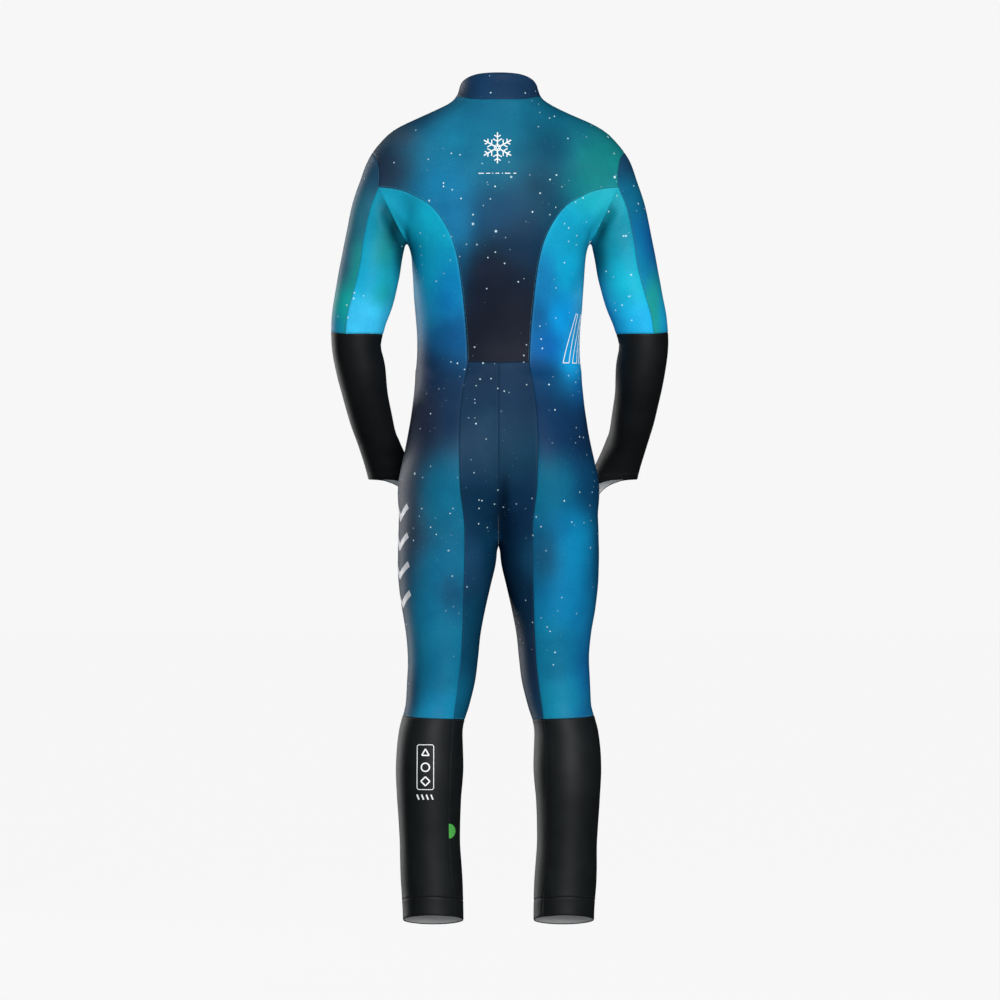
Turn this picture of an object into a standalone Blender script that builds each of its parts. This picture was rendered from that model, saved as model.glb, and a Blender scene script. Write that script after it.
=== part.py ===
"""One-piece race suit in its worn shape, hollow, with no wearer inside.

Metres, +Z up. The front of the suit faces -Y, the back +Y, the wearer's left is +X.
The origin is at the middle of the neck, level with the collar seam at the back.

The worn shape is one smooth surface, a blend of torso, neck, arms and legs, each given by a
short table of sections. Every cut piece is a grid of points on that surface between two seams,
given a wall towards the inside. Neighbours share their seam points, so they meet evenly.
"""
import math

import bmesh
import bpy
import numpy as np

# Driving dimensions
WALL = 0.0015
SEAM_GAP = 0.0003
NECK_Z = -0.003
WAIST_Z = -0.447
CROTCH_Z = -0.745
KNEE_Z = -1.0455
ELBOW_Z = -0.3990
CUFF_Z = -0.6450
ANKLE_Z = -1.3600
HEM_Z = -1.3930
NECK_SIDE_RISE = 0.0210
NECK_FRONT_DROP = 0.0500
COLLAR_BACK_Z = 0.0435
COLLAR_FRONT_DROP = 0.0460
COLLAR_SLOPE_POWER = 1.35

# Grid sizes: pieces along each seam
NECK_COLS = 5
SHOULDER_COLS = 3
BODY_COLS = NECK_COLS + SHOULDER_COLS
SIDE_COLS = 6
ARMHOLE_ROWS = 4
SLEEVE_COLS = 2 * ARMHOLE_ROWS
SLEEVE_ROWS = 8
TORSO_ROWS = 11
THIGH_ROWS = 19
CROTCH_ROW = 11
FOREARM_ROWS = 8
CALF_ROWS = 9
COLLAR_ROWS = 3

# Sections of the torso: height, half width, middle and half depth, squareness of the sides
TORSO_COLUMNS = ("z", "width", "mid_y", "depth", "power")
TORSO = (
    (0.030, 0.0400, 0.000, 0.040, 2.0),
    (0.005, 0.0620, 0.000, 0.055, 1.9),
    (-0.020, 0.1120, 0.000, 0.068, 1.7),
    (-0.040, 0.1440, 0.001, 0.080, 1.6),
    (-0.060, 0.1710, 0.002, 0.090, 1.6),
    (-0.080, 0.1880, 0.002, 0.097, 1.7),
    (-0.110, 0.1980, 0.002, 0.105, 1.9),
    (-0.150, 0.1900, 0.000, 0.112, 2.1),
    (-0.200, 0.1740, -0.003, 0.117, 2.3),
    (-0.240, 0.1570, -0.006, 0.119, 2.4),
    (-0.262, 0.1490, -0.008, 0.118, 2.4),
    (-0.296, 0.1462, -0.011, 0.115, 2.4),
    (-0.340, 0.1435, -0.015, 0.109, 2.4),
    (-0.390, 0.1394, -0.018, 0.103, 2.4),
    (-0.425, 0.1386, -0.018, 0.100, 2.4),
    (-0.459, 0.1402, -0.015, 0.101, 2.4),
    (-0.500, 0.1420, -0.009, 0.106, 2.3),
    (-0.540, 0.1440, -0.003, 0.112, 2.3),
    (-0.580, 0.1470, 0.000, 0.115, 2.3),
    (-0.620, 0.1530, 0.002, 0.113, 2.3),
    (-0.660, 0.1600, 0.003, 0.104, 2.2),
    (-0.695, 0.1500, 0.002, 0.082, 2.0),
    (-0.720, 0.1200, 0.000, 0.050, 2.0),
    (-0.738, 0.0800, 0.000, 0.020, 2.0),
)

# Sections of the neck
NECK_COLUMNS = ("z", "width", "mid_y", "depth")
NECK = (
    (-0.060, 0.0700, -0.006, 0.068),
    (-0.020, 0.0690, -0.005, 0.066),
    (0.000, 0.0675, -0.006, 0.064),
    (0.015, 0.0655, -0.008, 0.062),
    (0.030, 0.0635, -0.011, 0.060),
    (0.060, 0.0620, -0.018, 0.060),
)

# Sections of one leg, from inside the hip to below the hem
LEG_COLUMNS = ("z", "mid_x", "width", "mid_y", "depth")
LEG = (
    (-0.480, 0.0700, 0.0480, 0.004, 0.078),
    (-0.540, 0.0740, 0.0640, 0.008, 0.098),
    (-0.590, 0.0790, 0.0730, 0.012, 0.109),
    (-0.640, 0.0825, 0.0815, 0.012, 0.110),
    (-0.700, 0.0848, 0.0838, 0.006, 0.103),
    (-0.745, 0.0862, 0.0842, 0.002, 0.098),
    (-0.785, 0.0876, 0.0833, 0.000, 0.094),
    (-0.826, 0.0914, 0.0778, -0.001, 0.089),
    (-0.867, 0.0935, 0.0706, -0.002, 0.083),
    (-0.908, 0.0939, 0.0633, -0.002, 0.076),
    (-0.949, 0.0944, 0.0595, -0.002, 0.070),
    (-0.989, 0.0978, 0.0578, -0.001, 0.065),
    (-1.030, 0.1041, 0.0540, 0.001, 0.061),
    (-1.051, 0.1105, 0.0536, 0.004, 0.060),
    (-1.071, 0.1148, 0.0544, 0.008, 0.060),
    (-1.100, 0.1164, 0.0562, 0.014, 0.061),
    (-1.132, 0.1169, 0.0574, 0.019, 0.062),
    (-1.163, 0.1174, 0.0562, 0.021, 0.061),
    (-1.193, 0.1177, 0.0540, 0.021, 0.059),
    (-1.255, 0.1165, 0.0512, 0.017, 0.056),
    (-1.316, 0.1139, 0.0527, 0.013, 0.056),
    (-1.377, 0.1112, 0.0516, 0.011, 0.056),
    (-1.430, 0.1105, 0.0512, 0.010, 0.056),
)

# Centre line of one arm with its radius, shoulder to below the cuff
ARM_COLUMNS = ("x", "y", "z", "radius")
ARM = (
    (0.1480, -0.002, -0.102, 0.0500),
    (0.1760, 0.001, -0.140, 0.0540),
    (0.1950, 0.003, -0.190, 0.0550),
    (0.2100, 0.006, -0.245, 0.0512),
    (0.2197, 0.010, -0.296, 0.0514),
    (0.2286, 0.014, -0.337, 0.0500),
    (0.2389, 0.016, -0.377, 0.0459),
    (0.2440, 0.014, -0.418, 0.0417),
    (0.2376, 0.002, -0.459, 0.0421),
    (0.2316, -0.014, -0.500, 0.0387),
    (0.2236, -0.036, -0.541, 0.0366),
    (0.2138, -0.062, -0.581, 0.0336),
    (0.2030, -0.090, -0.619, 0.0330),
    (0.1950, -0.112, -0.650, 0.0340),
    (0.1880, -0.130, -0.680, 0.0340),
)

# Swelling of the cuff over the root of the thumb, on the side towards the body
THUMB = (
    (0.2050, -0.080, -0.590, 0.0240),
    (0.1840, -0.100, -0.640, 0.0300),
    (0.1720, -0.110, -0.668, 0.0310),
    (0.1640, -0.118, -0.700, 0.0310),
)

# How softly the forms run into each other
ARM_BLEND_TOP = 0.050
ARM_BLEND_PIT = 0.006
ARM_BLEND_TOP_Z = -0.120
ARM_BLEND_PIT_Z = -0.235
LEG_BLEND = 0.006
HIP_BLEND = 0.030
NECK_BLEND = 0.030
THUMB_BLEND = 0.020

# Seams as seen square from the back or the front: distance from the middle, height
BACK_SLEEVE_SEAM = (
    (0.2609, -0.3990), (0.2593, -0.3774), (0.2465, -0.3300), (0.2355, -0.2873),
    (0.2295, -0.2431), (0.2218, -0.2060), (0.2140, -0.1770), (0.2030, -0.1510),
)
BACK_SIDE_SEAM = (
    (0.2030, -0.1510), (0.1760, -0.1540), (0.1380, -0.1690), (0.1050, -0.1930), (0.0875, -0.2227),
    (0.0745, -0.2525), (0.0665, -0.2890), (0.0600, -0.3400), (0.0548, -0.3950), (0.0524, -0.4470),
)
BACK_THIGH_SEAM = (
    (0.0524, -0.4470), (0.0590, -0.4900), (0.0650, -0.5400), (0.0655, -0.6360), (0.0628, -0.6780),
    (0.0575, -0.7157), (0.0570, -0.7650), (0.0590, -0.8500), (0.0608, -0.9040), (0.0640, -0.9600),
    (0.0690, -1.0000), (0.0755, -1.0505),
)
FRONT_SLEEVE_SEAM = (
    (0.2520, -0.3960), (0.2440, -0.3600), (0.2300, -0.3000), (0.2180, -0.2450),
    (0.2060, -0.2000), (0.1960, -0.1640),
)
FRONT_SIDE_SEAM = (
    (0.1960, -0.1640), (0.1720, -0.1850), (0.1480, -0.2200), (0.1280, -0.2700),
    (0.1160, -0.3300), (0.1080, -0.3900), (0.1060, -0.4470),
)
FRONT_THIGH_SEAM = (
    (0.1060, -0.4470), (0.1110, -0.5200), (0.1180, -0.6200), (0.1200, -0.7200), (0.1180, -0.8200),
    (0.1160, -0.9200), (0.1220, -1.0000), (0.1320, -1.0505),
)
ARMHOLE_TOP = (0.2150, -0.010, -0.0860)
BACK_ARMHOLE = ((0.2030, -0.1510), (0.2022, -0.1240), (0.2075, -0.1010))
FRONT_ARMHOLE = ((0.1960, -0.1640), (0.1945, -0.1330), (0.2030, -0.1060))

# The lower leg's one seam, and the armhole, are drawn in the same way
CALF_SEAM = (
    (0.0755, -1.0505), (0.0800, -1.1000), (0.0825, -1.1560), (0.0845, -1.2087), (0.0845, -1.2530),
    (0.0808, -1.3120), (0.0745, -1.3550),
)

# How far the ankle seam and the hem rise towards the back, per metre of depth
ANKLE_SLOPE = 0.18
HEM_SLOPE = 0.21

# The cuff's lowest place: which way round the arm, how deep and how broad
CUFF_POINT_ANGLE = math.radians(195.0)
CUFF_DIP = 0.040
CUFF_DIP_SPREAD = math.radians(50.0)

# How far the arms are held towards the wearer's right at the cuffs
ARM_LEAN = 0.0075
ARM_LEAN_TOP_Z = -0.280

# Middle line of the side piece: where it leaves the inner arm and where it joins the torso
FAN_ROWS = 4
SLEEVE_MID_Z = -0.315
SIDE_MID_Z = -0.330
PIT_SEARCH_X = (0.145, 0.185)
PIT_SEARCH_Z = -0.190
VALLEY_OUT = 0.006
VALLEY_UP = 0.012

# Inner points from which rows of points are sent out to the surface
NECK_MID_Y = -0.006
NECK_QUARTER = math.radians(97.2)
SHOULDER_FROM_X = 0.190
SHOULDER_FROM_Z = -0.130
TURN_Z = -0.600
MIDDLE_SAMPLES = 60
HIP_AXIS_X = 0.060
HIP_AXIS_HEIGHT = 0.250
INSEAM_DROP = 0.008
SLEEVE_RISE = 0.004

# Zip, slider and pull tab
TAPE_WIDTH = 0.0105
TAPE_WALL = 0.0010
TAPE_LIFT = 0.0008
ZIP_BOTTOM_Z = -0.640
SLIDER_SIZE = (0.0090, 0.0030, 0.0120)
PULL_SIZE = (0.0070, 0.0012, 0.0270)
SLIDER_DROP = 0.0085
SLIDER_CLEAR = 0.0003
PULL_TILT = math.radians(8.0)
BRIDGE_WIDTH = 0.0022
BRIDGE_HEIGHT = 0.0030
BRIDGE_REACH = 0.0035
BRIDGE_BAR = 0.0010
PULL_AXIS = 0.0010
PULL_BAR = 0.0013
PULL_SLOT_WIDTH = 0.0030
PULL_SLOT_END = 0.0048

# Colours of the cloths: red, green, blue, roughness
FINISHES = {
    "suit_print": (0.030, 0.260, 0.400, 0.55),
    "suit_dark": (0.016, 0.075, 0.130, 0.55),
    "black_cloth": (0.012, 0.013, 0.015, 0.65),
    "zip_tape": (0.015, 0.016, 0.018, 0.70),
    "zip_metal": (0.200, 0.205, 0.215, 0.35),
}


class Table:
    """A table of sections made smooth: columns are read at any value of the first one."""

    SAMPLES = 24

    def __init__(self, names, rows, key):
        self.names = names
        points = np.array(rows, dtype=float)
        slopes = np.gradient(points, axis=0)
        fractions = np.arange(self.SAMPLES)[:, None] / self.SAMPLES
        pieces = []
        for low in range(len(points) - 1):
            a, b = points[low], points[low + 1]
            da, db = slopes[low], slopes[low + 1]
            cubic = 2 * (a - b) + da + db
            square = 3 * (b - a) - 2 * da - db
            pieces.append(((cubic * fractions + square) * fractions + da) * fractions + a)
        self.dense = np.vstack(pieces + [points[-1:]])
        column = self.dense[:, names.index(key)]
        order = np.argsort(column, kind="stable")
        self.key = column[order]
        self.sorted = self.dense[order]

    def at(self, value):
        return [np.interp(value, self.key, self.sorted[:, i]) for i in range(len(self.names))]


def soft_union(a, b, size):
    """The smaller of two distances, with the corner between them rounded by size."""
    share = np.maximum(size - np.abs(a - b), 0.0) / size
    return np.minimum(a, b) - share * share * size * 0.25


def oval_distance(across, width, through, depth, power):
    """About how far a point lies outside a flat oval section."""
    u = np.abs(across) / width
    v = np.abs(through) / depth
    inside = u ** power + v * v - 1.0
    slope_u = power * u ** (power - 1.0) / width
    slope_v = 2.0 * v / depth
    return inside / np.maximum(np.hypot(slope_u, slope_v), 1.0 / np.maximum(width, depth))


TORSO_TABLE = Table(TORSO_COLUMNS, TORSO, "z")
NECK_TABLE = Table(NECK_COLUMNS, NECK, "z")
LEG_TABLE = Table(LEG_COLUMNS, LEG, "z")
ARM_TABLE = Table(ARM_COLUMNS, ARM, "z")
THUMB_TABLE = Table(ARM_COLUMNS, THUMB, "z")


def close_ends(distance, z, rows):
    """Ends a form at the first and last height of its table of sections."""
    heights = [row[0] for row in rows]
    beyond = np.maximum(z - max(heights), min(heights) - z)
    return np.where(beyond > 0.0, np.maximum(distance, beyond), distance)


def limb_distance(x, y, z, table):
    """Distance to a limb: the nearest point of its centre line, less the radius there."""
    heights = table.key
    guess = np.clip(z, heights[0], heights[-1])
    for _ in range(3):
        mid_x, mid_y, mid_z, radius = table.at(guess)
        step = 0.002
        low_x, low_y, _, _ = table.at(guess - step)
        run_x = (mid_x - low_x) / step
        run_y = (mid_y - low_y) / step
        along = (x - mid_x) * run_x + (y - mid_y) * run_y + (z - mid_z)
        guess = np.clip(guess + along / (run_x ** 2 + run_y ** 2 + 1.0), heights[0], heights[-1])
    mid_x, mid_y, mid_z, radius = table.at(guess)
    return np.sqrt((x - mid_x) ** 2 + (y - mid_y) ** 2 + (z - mid_z) ** 2) - radius


def leg_distance(x, y, z):
    _, mid_x, width, mid_y, depth = LEG_TABLE.at(z)
    return close_ends(oval_distance(x - mid_x, width, y - mid_y, depth, 2.0), z, LEG)


def body_distance(points):
    """Signed distance, about, from the outer face of the worn suit."""
    x, y, z = np.abs(points[:, 0]), points[:, 1], points[:, 2]
    _, width, mid_y, depth, power = TORSO_TABLE.at(z)
    torso = close_ends(oval_distance(x, width, y - mid_y, depth, power), z, TORSO)
    _, width, mid_y, depth = NECK_TABLE.at(z)
    neck = close_ends(oval_distance(x, width, y - mid_y, depth, 2.0), z, NECK)
    legs = soft_union(leg_distance(x, y, z), leg_distance(-x, y, z), LEG_BLEND)
    arm = limb_distance(x, y, z, ARM_TABLE)
    thumb = limb_distance(x, y, z, THUMB_TABLE)
    height = np.clip((z - ARM_BLEND_PIT_Z) / (ARM_BLEND_TOP_Z - ARM_BLEND_PIT_Z), 0.0, 1.0)
    arm_blend = ARM_BLEND_PIT + (ARM_BLEND_TOP - ARM_BLEND_PIT) * height
    body = soft_union(torso, neck, NECK_BLEND)
    body = soft_union(body, legs, HIP_BLEND)
    arm = soft_union(arm, thumb, THUMB_BLEND)
    return soft_union(body, arm, arm_blend)


def body_normal(points):
    """Direction straight out of the surface at each point."""
    step = 0.0002
    parts = []
    for axis in range(3):
        shift = np.zeros(3)
        shift[axis] = step
        parts.append((body_distance(points + shift) - body_distance(points - shift)) / (2 * step))
    return np.stack(parts, axis=1)


def settle(points, rounds=8):
    """Move points along the steepest way until they lie on the surface."""
    moved = np.array(points, dtype=float)
    for _ in range(rounds):
        slope = body_normal(moved)
        size = np.maximum((slope ** 2).sum(axis=1, keepdims=True), 0.05)
        step = slope * (body_distance(moved)[:, None] / size)
        length = np.linalg.norm(step, axis=1, keepdims=True)
        moved -= step * np.minimum(1.0, 0.015 / np.maximum(length, 1e-9))
    return moved


def cast(starts, directions, reach=0.30, steps=60):
    """First point of the surface met on the way out from each start."""
    starts = np.array(starts, dtype=float)
    directions = np.array(directions, dtype=float)
    directions = directions / np.linalg.norm(directions, axis=1, keepdims=True)
    low = np.zeros(len(starts))
    high = np.full(len(starts), reach)
    found = np.zeros(len(starts), dtype=bool)
    for index in range(1, steps + 1):
        way = reach * index / steps
        outside = body_distance(starts + directions * way) > 0.0
        fresh = outside & ~found
        high[fresh] = way
        low[fresh] = way - reach / steps
        found |= outside
    for _ in range(30):
        middle = 0.5 * (low + high)
        outside = body_distance(starts + directions * middle[:, None]) > 0.0
        high = np.where(outside, middle, high)
        low = np.where(outside, low, middle)
    return starts + directions * high[:, None]


def resample(points, count):
    """count + 1 points evenly spaced along a line of points."""
    points = np.asarray(points, dtype=float)
    lengths = np.r_[0.0, np.cumsum(np.linalg.norm(np.diff(points, axis=0), axis=1))]
    wanted = np.linspace(0.0, lengths[-1], count + 1)
    return np.stack([np.interp(wanted, lengths, points[:, i]) for i in range(points.shape[1])], 1)


def smooth_line(rows, samples=12):
    """A soft curve through the rows of a short table."""
    points = np.array(rows, dtype=float)
    slopes = np.gradient(points, axis=0)
    curve = []
    for low in range(len(points) - 1):
        a, b, da, db = points[low], points[low + 1], slopes[low], slopes[low + 1]
        for t in np.arange(samples) / samples:
            bend = (2 * (a - b) + da + db) * t + 3 * (b - a) - 2 * da - db
            curve.append(bend * t * t + da * t + a)
    return np.vstack(curve + [points[-1]])


def seen_seam(rows, side, count):
    """A seam drawn square from the back (side 1) or the front (side -1), put on the surface."""
    flat = smooth_line(rows)
    away = 0.30
    starts = np.stack([flat[:, 0], np.full(len(flat), side * away), flat[:, 1]], axis=1)
    way = np.tile([0.0, -float(side), 0.0], (len(flat), 1))
    near = np.zeros(len(flat))
    far = np.full(len(flat), away)
    hit = np.zeros(len(flat), dtype=bool)
    steps = 120
    for index in range(1, steps + 1):
        reach = away * index / steps
        inside = body_distance(starts + way * reach) < 0.0
        fresh = inside & ~hit
        far[fresh] = reach
        near[fresh] = reach - away / steps
        hit |= inside
    for _ in range(30):
        middle = 0.5 * (near + far)
        inside = body_distance(starts + way * middle[:, None]) < 0.0
        far = np.where(inside, middle, far)
        near = np.where(inside, near, middle)
    line = starts + way * far[:, None]
    return settle(resample(line, count))


def arm_axis(z):
    x, y, _, _ = ARM_TABLE.at(z)
    return np.stack([x, y, z], axis=1)


def leg_axis(z):
    """Middle of a leg, and above the crotch of half the torso."""
    _, mid_x, _, mid_y, _ = LEG_TABLE.at(z)
    share = np.clip((z - CROTCH_Z) / HIP_AXIS_HEIGHT, 0.0, 1.0)
    x = mid_x * (1.0 - share) + HIP_AXIS_X * share
    _, _, torso_y, _, _ = TORSO_TABLE.at(np.clip(z, -0.70, 0.0))
    y = mid_y * (1.0 - share) + torso_y * share
    return np.stack([x, y, z], axis=1)


def ring_row(anchors, counts, axis, tilt=0.0):
    """A row of points round an axis through its anchors, with counts pieces between them."""
    anchors = np.asarray(anchors, dtype=float)
    middle = axis(anchors[:, 2])
    reach = anchors - middle
    angles = np.unwrap(np.arctan2(reach[:, 1], reach[:, 0]))
    heights = anchors[:, 2]
    row_angles, row_heights = [angles[0]], [heights[0]]
    for index, count in enumerate(counts):
        for step in range(1, count + 1):
            share = step / count
            row_angles.append(angles[index] + (angles[index + 1] - angles[index]) * share)
            row_heights.append(heights[index] + (heights[index + 1] - heights[index]) * share)
    angle = np.array(row_angles)
    start = axis(np.array(row_heights))
    way = np.stack([np.cos(angle), np.sin(angle), np.zeros(len(angle)) - tilt * np.sin(angle)], axis=1)
    row = cast(start, way)
    row[0], row[-1] = anchors[0], anchors[-1]
    return row


def relax(grid, rounds, held_column=None):
    """Even out the inside of a grid on the surface, with its edges held."""
    rows, cols = grid.shape[:2]
    for _ in range(rounds):
        inner = 0.25 * (grid[:-2, 1:-1] + grid[2:, 1:-1] + grid[1:-1, :-2] + grid[1:-1, 2:])
        moved = settle((0.5 * grid[1:-1, 1:-1] + 0.5 * inner).reshape(-1, 3), 3)
        held = grid[:, held_column].copy() if held_column else None
        grid = grid.copy()
        grid[1:-1, 1:-1] = moved.reshape(rows - 2, cols - 2, 3)
        if held_column:
            grid[:, held_column] = held
    return grid


def middle_line():
    """The line down the middle of the back, under the crotch and up the front to the neck."""
    level = np.zeros(MIDDLE_SAMPLES)
    base = np.stack([level, level, np.linspace(NECK_Z, TURN_Z, MIDDLE_SAMPLES)], axis=1)
    back = cast(base, np.tile([0.0, 1.0, 0.0], (MIDDLE_SAMPLES, 1)))
    turn = np.linspace(0.0, math.pi, MIDDLE_SAMPLES + 1)[1:-1]
    pivot = np.tile([0.0, 0.0, TURN_Z], (len(turn), 1))
    under = cast(pivot, np.stack([np.zeros(len(turn)), np.cos(turn), -np.sin(turn)], axis=1))
    base = np.stack([level, level, np.linspace(TURN_Z, front_neck_z(), MIDDLE_SAMPLES)], axis=1)
    front = cast(base, np.tile([0.0, -1.0, 0.0], (MIDDLE_SAMPLES, 1)))
    return np.vstack([back, under, front])


def neck_height(angle):
    """Height of the neck seam round the neck, angle 0 at the back and half a turn at the front."""
    share = (1.0 - np.cos(angle)) * 0.5
    return NECK_Z + NECK_SIDE_RISE * np.sin(angle) ** 4 - NECK_FRONT_DROP * share ** 1.6


def front_neck_z():
    return float(neck_height(np.array(math.pi)))


def collar_height(angle):
    """Height of the collar's top edge, level at the back and sloping down to the front."""
    share = (1.0 - np.cos(angle)) * 0.5
    return COLLAR_BACK_Z - COLLAR_FRONT_DROP * share ** COLLAR_SLOPE_POWER


def neck_ring(angle, height):
    """Points round the neck at the given angles and heights."""
    start = np.stack([np.zeros(len(angle)), np.full(len(angle), NECK_MID_Y), height], axis=1)
    way = np.stack([np.sin(angle), np.cos(angle), np.zeros(len(angle))], axis=1)
    return cast(start, way)


class Lines:
    """The shared seam points of one half of the suit; the other half mirrors them."""

    def __init__(self):
        self.back_sleeve = seen_seam(BACK_SLEEVE_SEAM, 1, SLEEVE_ROWS)
        self.back_side = seen_seam(BACK_SIDE_SEAM, 1, TORSO_ROWS)
        self.back_thigh = seen_seam(BACK_THIGH_SEAM, 1, THIGH_ROWS)
        self.front_sleeve = seen_seam(FRONT_SLEEVE_SEAM, -1, SLEEVE_ROWS)
        self.front_side = seen_seam(FRONT_SIDE_SEAM, -1, TORSO_ROWS)
        self.front_thigh = seen_seam(FRONT_THIGH_SEAM, -1, THIGH_ROWS)
        top = settle(np.array([ARMHOLE_TOP]))[0]
        self.back_armhole = self.armhole(BACK_ARMHOLE, 1, top)
        self.front_armhole = self.armhole(FRONT_ARMHOLE, -1, top)
        self.neck_points()
        self.middle_points()
        self.inseam_points()

    def armhole(self, rows, side, top):
        """From the shoulder point down to the meeting of the four back or front seams."""
        seen = seen_seam(rows, side, 6)
        line = np.vstack([top, seen[::-1]])
        return settle(resample(smooth_line(line), ARMHOLE_ROWS))

    def neck_points(self):
        back = np.linspace(0.0, NECK_QUARTER, NECK_COLS + 1)
        front = np.linspace(math.pi, NECK_QUARTER, NECK_COLS + 1)
        self.neck_back_angle, self.neck_front_angle = back, front
        self.neck_back = neck_ring(back, neck_height(back))
        self.neck_front = neck_ring(front, neck_height(front))
        corner = self.neck_back[-1]
        end = self.back_armhole[0]
        share = np.linspace(0.0, 1.0, 9)
        x = corner[0] + (end[0] - corner[0]) * share
        y = corner[1] + (end[1] - corner[1]) * share
        start = np.stack([np.minimum(x, SHOULDER_FROM_X), y, np.full(9, SHOULDER_FROM_Z)], axis=1)
        line = cast(start, np.stack([x - start[:, 0], y * 0.0, np.full(9, 0.1)], axis=1))
        line[0], line[-1] = corner, end
        self.shoulder = settle(resample(line, SHOULDER_COLS))

    def middle_points(self):
        line = middle_line()
        crotch = int(np.argmin(line[:, 2]))
        self.crotch = line[crotch]
        waist = int(np.argmin(np.abs(line[:crotch, 2] - WAIST_Z)))
        self.middle_back = resample(line[:waist + 1], ARMHOLE_ROWS + TORSO_ROWS)
        self.middle_seat = resample(line[waist:crotch + 1], CROTCH_ROW)
        front_rows = ARMHOLE_ROWS + TORSO_ROWS + CROTCH_ROW
        self.middle_front = resample(line[crotch:], front_rows)[::-1]

    def inseam_points(self):
        rows = THIGH_ROWS - CROTCH_ROW
        z = np.linspace(self.crotch[2], KNEE_Z - INSEAM_DROP, rows * 4 + 1)
        start = leg_axis(z)
        way = np.tile([-1.0, 0.0, 0.0], (len(z), 1))
        line = cast(start, way)
        line[0] = self.crotch
        self.inseam = settle(resample(line, rows))
        self.inseam[0] = self.crotch


def back_grid(lines):
    """Half of the back: rows from the neck to the waist, columns from the middle to the seam."""
    rows = ARMHOLE_ROWS + TORSO_ROWS
    outer = np.vstack([lines.back_armhole[:-1], lines.back_side])
    grid = np.zeros((rows + 1, BODY_COLS + 1, 3))
    for row in range(ARMHOLE_ROWS, rows + 1):
        anchors = [lines.middle_back[row], outer[row]]
        grid[row] = ring_row(anchors, [BODY_COLS], chest_axis)
    grid[0] = np.vstack([lines.neck_back, lines.shoulder[1:]])
    fill_between(grid, 0, ARMHOLE_ROWS, lines.middle_back, outer)
    return relax(grid, 6)


def chest_axis(z):
    _, _, mid_y, _, _ = TORSO_TABLE.at(z)
    return np.stack([np.zeros(len(z)), mid_y, z], axis=1)


def fill_between(grid, first, last, left, right):
    """Rows between two known ones, blended with the edge points and put on the surface."""
    across = np.linspace(0.0, 1.0, grid.shape[1])[:, None]
    for row in range(first + 1, last):
        share = (row - first) / (last - first)
        plain = grid[first] * (1.0 - share) + grid[last] * share
        at_left = left[row] - plain[0]
        at_right = right[row] - plain[-1]
        grid[row] = settle(plain + at_left * (1.0 - across) + at_right * across)
        grid[row, 0], grid[row, -1] = left[row], right[row]


def front_grid(lines):
    """One front piece: rows from the neck and shoulder down to the knee."""
    rows = ARMHOLE_ROWS + TORSO_ROWS + THIGH_ROWS
    outer = np.vstack([lines.front_armhole[:-1], lines.front_side[:-1], lines.front_thigh])
    inner = np.vstack([lines.middle_front, lines.inseam[1:]])
    grid = np.zeros((rows + 1, BODY_COLS + 1, 3))
    for row in range(ARMHOLE_ROWS, rows + 1):
        grid[row] = ring_row([inner[row], outer[row]], [BODY_COLS], leg_axis)
    grid[0] = np.vstack([lines.neck_front, lines.shoulder[1:]])
    fill_between(grid, 0, ARMHOLE_ROWS, inner, outer)
    return relax(grid, 6)


def seat_grid(lines, waist):
    """One seat piece: rows from the waist down to the knee, columns from the middle outwards."""
    inner = np.vstack([lines.middle_seat, lines.inseam[1:]])
    rows = [waist]
    for row in range(1, THIGH_ROWS + 1):
        rows.append(ring_row([inner[row], lines.back_thigh[row]], [BODY_COLS], leg_axis))
    return relax(np.array(rows), 2)


def armpit():
    """The highest point of the hollow between arm and side."""
    across = np.linspace(*PIT_SEARCH_X, 41)
    start = np.stack([across, np.zeros(41), np.full(41, PIT_SEARCH_Z)], axis=1)
    under = cast(start, np.tile([0.0, 0.0, -1.0], (41, 1)))
    return under[np.argmax(under[:, 2])]


def valley_row(lines):
    """The row of the side piece that runs down the fold behind the arm, under it and up again."""
    half = SIDE_COLS // 2
    pit = armpit()
    bottom = (pit[0] + VALLEY_OUT, pit[2] + VALLEY_UP)
    back = seen_seam((BACK_SIDE_SEAM[0], bottom), 1, half)
    front = seen_seam((FRONT_SIDE_SEAM[0], bottom), -1, half)
    row = np.vstack([back[:-1], pit, front[::-1][1:]])
    row[0], row[-1] = lines.back_side[0], lines.front_side[0]
    return row


def side_grid(lines):
    """Under-sleeve and side panel: rows from the elbow up to the armpit, then down to the knee."""
    half = SIDE_COLS // 2
    back = np.vstack([lines.back_sleeve, lines.back_side[1:], lines.back_thigh[1:]])
    front = np.vstack([lines.front_sleeve, lines.front_side[1:], lines.front_thigh[1:]])
    grid = np.zeros((len(back), SIDE_COLS + 1, 3))
    last_arm = SLEEVE_ROWS - FAN_ROWS
    first_side = SLEEVE_ROWS + FAN_ROWS
    arm_z = np.linspace(ELBOW_Z, SLEEVE_MID_Z, last_arm + 1)
    arm = cast(arm_axis(arm_z), np.tile([-1.0, 0.0, 0.0], (len(arm_z), 1)))
    for row in range(last_arm + 1):
        grid[row] = ring_row([back[row], arm[row], front[row]], [half, half], arm_axis)
    torso_z = np.linspace(SIDE_MID_Z, WAIST_Z, TORSO_ROWS - FAN_ROWS + 1)
    side_z = np.r_[torso_z, np.linspace(WAIST_Z, KNEE_Z, THIGH_ROWS + 1)[1:]]
    side = cast(leg_axis(side_z), np.tile([1.0, 0.0, 0.0], (len(side_z), 1)))
    for row in range(first_side, len(back)):
        anchors = [back[row], side[row - first_side], front[row]]
        grid[row] = ring_row(anchors, [half, half], leg_axis)
    grid[SLEEVE_ROWS] = valley_row(lines)
    fill_between(grid, last_arm, SLEEVE_ROWS, back, front)
    fill_between(grid, SLEEVE_ROWS, first_side, back, front)
    return relax(grid, 4, half)


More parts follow.
